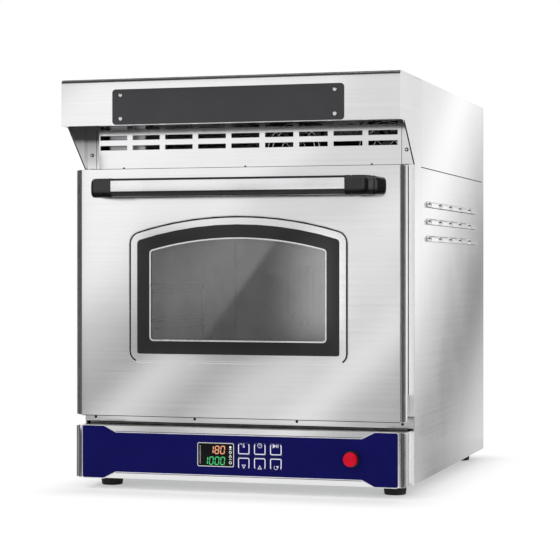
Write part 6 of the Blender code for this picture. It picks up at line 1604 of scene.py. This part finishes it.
# %% Floor and world
FLOOR_HALF, SHADOW_HALF, SHADOW_FADE, SHADOW_SHARE = 20, (0.27, 0.36, 0), 0.11, 0.35
SKY_ON_SURFACES, SKY_SEEN = 0.55, 1.0
WHITE = (1, 1, 1, 1)


def stage_plane(name, corners, material):
    """A plane that belongs to the studio and not to the oven."""
    mesh = bpy.data.meshes.new(name)
    mesh.from_pydata([tuple(corner) for corner in corners], [], [(0, 1, 2, 3)])
    mesh.materials.append(material)
    obj = bpy.data.objects.new(name, mesh)
    bpy.context.scene.collection.objects.link(obj)
    print("studio plane:", name)
    return obj


def floor_material():
    """White paper near the object, fading to the plain white of the world with the
    distance from a rectangle, length(max(|place| - half size, 0))."""
    material, tree, distance = start_material("floor", empty=True)
    for operation, second in (("ABSOLUTE", (0, 0, 0)), ("SUBTRACT", SHADOW_HALF), ("MAXIMUM", (0, 0, 0))):
        step = add(tree, "ShaderNodeVectorMath", {0: distance, 1: second}, operation=operation)
        distance = step.outputs[0]
    distance = add(tree, "ShaderNodeVectorMath", {0: distance}, operation="LENGTH").outputs["Value"]
    far = remap(tree, distance, 0.0, SHADOW_FADE, low=SHADOW_SHARE, soft=True)
    paper = add(tree, "ShaderNodeBsdfDiffuse", {"Color": WHITE}).outputs[0]
    white = add(tree, "ShaderNodeEmission", {"Color": WHITE, "Strength": 1.0}).outputs[0]
    mixed = add(tree, "ShaderNodeMixShader", {0: far, 1: paper, 2: white}).outputs[0]
    tree.links.new(mixed, add(tree, "ShaderNodeOutputMaterial").inputs["Surface"])
    return material


floor_corners = [(x * FLOOR_HALF, y * FLOOR_HALF, 0) for x, y in ((-1, -1), (1, -1), (1, 1), (-1, 1))]
stage_plane("floor", floor_corners, floor_material())
world = bpy.data.worlds.new("world")
bpy.context.scene.world = world
world.use_nodes = True
sky = world.node_tree
sky.nodes.clear()
rays = add(sky, "ShaderNodeLightPath").outputs
seen = reckon(sky, "MAXIMUM", rays["Is Camera Ray"], rays["Is Glossy Ray"])
seen = reckon(sky, "MAXIMUM", seen, rays["Is Transmission Ray"])
strength = remap(sky, seen, 0, 1, SKY_ON_SURFACES, SKY_SEEN)
shine = add(sky, "ShaderNodeBackground", {"Color": WHITE, "Strength": strength}).outputs[0]
sky.links.new(shine, add(sky, "ShaderNodeOutputWorld").inputs["Surface"])

# %% Lamps
LAMP_SIZE, LAMP_AIM = 2.0, np.array([0, 0, 0.35])


def soft_lamp(name, place, power):
    """A large square lamp that points at the oven and stays out of reflections."""
    data = bpy.data.lights.new(name, "AREA")
    data.shape = "SQUARE"
    data.size = LAMP_SIZE
    data.energy = power
    lamp = bpy.data.objects.new(name, data)
    lamp.location = place
    x, y, z = LAMP_AIM - place
    lamp.rotation_euler = (math.atan2(math.hypot(x, y), -z), 0, math.atan2(x, -y) + math.pi)
    lamp.visible_glossy = False
    bpy.context.scene.collection.objects.link(lamp)
    print(f"lamp {name}: {power} W")


soft_lamp("key", (-1.6, -2.6, 2.2), 45)
soft_lamp("fill", (2.4, -1.6, 1.4), 22)

# %% [markdown]
# The cards are flat planes that only reflections see. A card's tone follows a slanting
# ramp: the distance along a direction goes through a colour ramp, which gives light bands,
# grey bands and the soft change between them.

# %% Card tools
CARD_LIGHT = 2.4


def ramp_of(tree, spot, direction, stops):
    """Colour ramp of dot(place, direction), its stops given as (distance, tone)."""
    along = add(tree, "ShaderNodeVectorMath", {0: spot, 1: direction},
                operation="DOT_PRODUCT").outputs["Value"]
    start, end = stops[0][0], max(stops[-1][0], stops[0][0] + 0.01)
    ramp = add(tree, "ShaderNodeValToRGB", {"Fac": remap(tree, along, start, end)})
    elements = ramp.color_ramp.elements
    elements.remove(elements[1])
    for place, tone in stops:
        position = (place - start) / (end - start)
        stop = elements[0] if place == start else elements.new(position)
        stop.position = position
        stop.color = (*[tone / CARD_LIGHT] * 3, 1)
    return ramp.outputs["Color"]


def window_of(tree, value, low, high, soft):
    """1 between low and high, falling smoothly to 0 over the soft distance outside."""
    rise = remap(tree, value, low - soft, low, soft=True)
    fall = remap(tree, value, high + soft, high, soft=True)
    return reckon(tree, "MULTIPLY", rise, fall)


def wall(first, second, bottom, top):
    """The corners of an upright card between two (x, y) places."""
    return [(*first, bottom), (*second, bottom), (*second, top), (*first, top)]


def finish_card(name, corners, material, tree, tone):
    """The card itself: it shines with the tone, and only reflections see it."""
    light = add(tree, "ShaderNodeEmission", {"Color": tone, "Strength": CARD_LIGHT}).outputs[0]
    tree.links.new(light, add(tree, "ShaderNodeOutputMaterial").inputs["Surface"])
    obj = stage_plane(name, corners, material)
    obj.visible_camera = obj.visible_diffuse = obj.visible_transmission = obj.visible_shadow = False
    return obj


def plain_card(name, corners, direction, stops):
    """A card with one ramp over all of it."""
    material, tree, spot = start_material(name, empty=True)
    return finish_card(name, corners, material, tree, ramp_of(tree, spot, direction, stops))


def black_card(name, corners, tone):
    """A card with one dark tone."""
    return plain_card(name, corners, (0, 0, 0), [(0.0, tone)])


def clear_where(card, kind, result, limit=None):
    """The card is clear where a node's result is one, or more than the limit."""
    tree = card.active_material.node_tree
    factor = add(tree, kind).outputs[result]
    if limit is not None:
        factor = reckon(tree, "GREATER_THAN", factor, limit)
    output = next(node for node in tree.nodes if node.type == "OUTPUT_MATERIAL")
    light = output.inputs["Surface"].links[0].from_socket
    clear = add(tree, "ShaderNodeBsdfTransparent").outputs[0]
    mixed = add(tree, "ShaderNodeMixShader", {0: factor, 1: light, 2: clear}).outputs[0]
    tree.links.new(mixed, output.inputs["Surface"])


# %% [markdown]
# The card in front gives the door its slanting bands: a light upper left, a dark valley, a
# narrow light band and a wide one. Higher up the bands are softer. Where the window's pane
# mirrors the card, one sharp edge runs across and the far side glows. The pane's part of
# the card gets darker towards its foot.

# %% Front card
LOWER_BANDS = [(-0.98, 1.08), (-0.85, 1.08), (-0.75, 0.74), (-0.585, 0.40), (-0.51, 0.90),
               (-0.385, 0.48), (-0.28, 0.79), (-0.19, 0.78), (-0.12, 0.99), (-0.03, 0.56), (0.04, 0.50)]
UPPER_BANDS = [(-1.25, 0.88), (-1.18, 1.12), (-0.88, 1.08), (-0.75, 1.02), (-0.71, 1.08),
               (-0.64, 0.86), (-0.45, 0.83), (-0.33, 1.03), (-0.20, 0.92), (0.04, 0.84)]
PANE_BANDS = [(-0.62, 0.32), (-0.50, 0.60), (-0.43, 0.90), (-0.350, 0.86), (-0.338, 0.12),
              (-0.20, 0.20), (-0.10, 0.16)]
STEEL_SLANT, PANE_SLANT = (0.95, 0, -1), (0.796, 0, -0.606)
front_y = FRONT - 0.6
material, tree, spot = start_material("front_card", empty=True)
axes = add(tree, "ShaderNodeSeparateXYZ", {0: spot}).outputs
lower = ramp_of(tree, spot, STEEL_SLANT, LOWER_BANDS)
upper = ramp_of(tree, spot, STEEL_SLANT, UPPER_BANDS)
steel = blend(tree, remap(tree, axes["Z"], 0.26, 0.50, soft=True), lower, upper)
pane = ramp_of(tree, spot, PANE_SLANT, PANE_BANDS)
sunk = remap(tree, axes["Z"], 0.25, 0.37, low=0.42, soft=True)
pane = blend(tree, 1.0, pane, sunk, blend_type="MULTIPLY")
glow = reckon(tree, "MULTIPLY", remap(tree, axes["X"], -0.12, 0.015, soft=True),
              window_of(tree, axes["Z"], 0.30, 0.40, 0.10))
pane = blend(tree, glow, pane, (0.9, 0.9, 0.9, 1))
in_pane = reckon(tree, "MULTIPLY", window_of(tree, axes["X"], -0.372, 0.014, 0.022),
                 window_of(tree, axes["Z"], 0.232, 0.453, 0.022))
finish_card("front_card", wall((-0.62, front_y), (0.26, front_y), 0.004, 0.80), material, tree,
            blend(tree, in_pane, steel, pane))

# %% [markdown]
# The card behind, to the right, gives the side panel its steep bands. The small black
# cards are what photographers call flags: they stand close to an edge, and only the bend
# of that edge mirrors them, so the fold gets a dark line. Two stand to the right of the
# front, with a slit between them, and four to the left. Two small ones darken the cheek
# under the hood's left end, and the one beside the cheek is clear from behind. Three lie
# over the hood and are clear to everything that is further away. A grey card lies on the
# floor beside the oven, where the foot of its side would mirror white paper.

# %% Back card and flags
BACK_BANDS = [(0.36, 0.80), (0.373, 0.74), (0.407, 0.60), (0.4345, 0.42), (0.4655, 0.30), (0.49, 0.37),
              (0.517, 0.53), (0.545, 0.66), (0.572, 0.86), (0.60, 1.03), (0.62, 1.18), (0.641, 1.24),
              (0.663, 1.06), (0.689, 0.88), (0.71, 0.83), (0.80, 0.83)]
FLOOR_BANDS = [(-1.60, 0.58), (-1.558, 0.50), (-1.50, 0.386), (-1.44, 0.375), (-1.378, 0.40),
               (-1.258, 0.475), (-1.138, 0.595), (-1.018, 0.68), (-0.90, 0.72)]
HOOD_BANDS = [(0.564, 0.95), (0.580, 0.66), (0.602, 0.46), (0.609, 0.36), (0.617, 0.05), (0.655, 0.03)]
CARD_FOOT, FLAG_HEAD, FLAG_TONE, HOOD_TONE = 0.003, 0.605, 0.09, 0.07
LEFT_NEAR, LEFT_TURN, LEFT_BACK = (-0.343, -0.456), (-0.415, -0.400), (-0.432, -0.300)
FLAGS = {"flag_right_1": ((0.285, -0.466), (0.324, -0.463), CARD_FOOT, FLAG_HEAD),
         "flag_right_2": ((0.336, -0.460), (0.430, -0.300), CARD_FOOT, FLAG_HEAD),
         "flag_left_1_low": (LEFT_NEAR, LEFT_TURN, CARD_FOOT, 0.094),
         "flag_left_1": (LEFT_NEAR, LEFT_TURN, 0.116, FLAG_HEAD),
         "flag_left_2": (LEFT_TURN, LEFT_BACK, CARD_FOOT, FLAG_HEAD),
         "flag_left_3": (LEFT_BACK, (-0.345, -0.245), CARD_FOOT, FLAG_HEAD)}
UNDER_HOOD, UP = (0.564, 0.655), (0, 0, 1)
HOOD_CARDS = [((-0.473, 0.718), (-0.455, 0.770), 0.36, 0.14),
              ((-0.455, 0.770), (-0.397, 0.800), 0.36, 0.14),
              ((-0.388, 0.975), (-0.200, 0.900), 0.75, 0.34)]
BACK_SLANT, FLOOR_SLANT, FLOOR_CARD_Z = (0.9525, 0, 0.3046), (-4.46, 1, 0), 0.002
FLOOR_PLACES = ((0.312, -0.24), (0.80, -0.24), (0.80, 1.25), (0.312, 1.25))
plain_card("back_card", wall((0.325, 0.75), (0.64, 0.75), CARD_FOOT, 0.92), BACK_SLANT, BACK_BANDS)
for name, place in FLAGS.items():
    black_card(name, wall(*place), FLAG_TONE)
plain_card("flag_floor_right", [(*place, FLOOR_CARD_Z) for place in FLOOR_PLACES], FLOOR_SLANT,
           FLOOR_BANDS)
plain_card("flag_hood_left", wall((-0.2995, -0.2905), (-0.2765, -0.2905), *UNDER_HOOD), UP, HOOD_BANDS)
cheek_card = plain_card("flag_hood_cheek", wall((-0.2675, -0.2815), (-0.2675, -0.392), *UNDER_HOOD), UP,
                        HOOD_BANDS)
clear_where(cheek_card, "ShaderNodeNewGeometry", "Backfacing")
for number, (near, far, half, reach) in enumerate(HOOD_CARDS, 1):
    card = black_card(f"flag_over_{number}", [(-half, *near), (half, *near), (half, *far), (-half, *far)],
                      HOOD_TONE)
    clear_where(card, "ShaderNodeLightPath", "Ray Length", limit=reach)

# %% [markdown]
# Seen from a side or from the back the oven needs something to mirror too, or its sheets
# would be blank. Three far cards with soft slanting bands stand there.

# %% Far cards
SOFT_BANDS = [(-1.5, 0.98), (-1.1, 0.80), (-0.9, 0.93), (-0.55, 0.68), (-0.35, 0.86), (-0.15, 1.04),
              (0.0, 0.80), (0.25, 0.64), (0.5, 0.90), (0.9, 1.02), (1.3, 0.86)]
FAR_CARDS = {"far_card_back": ((-1.3, 1.7), (0.9, 1.7), (-0.95, 0, -1)),
             "far_card_right": ((1.6, -1.0), (1.6, 1.2), (0, 0.95, -1)),
             "far_card_left": ((-1.6, -1.0), (-1.6, 1.2), (0, -0.95, -1))}
for name, (first, second, slant) in FAR_CARDS.items():
    plain_card(name, wall(first, second, 0.004, 1.5), slant, SOFT_BANDS)
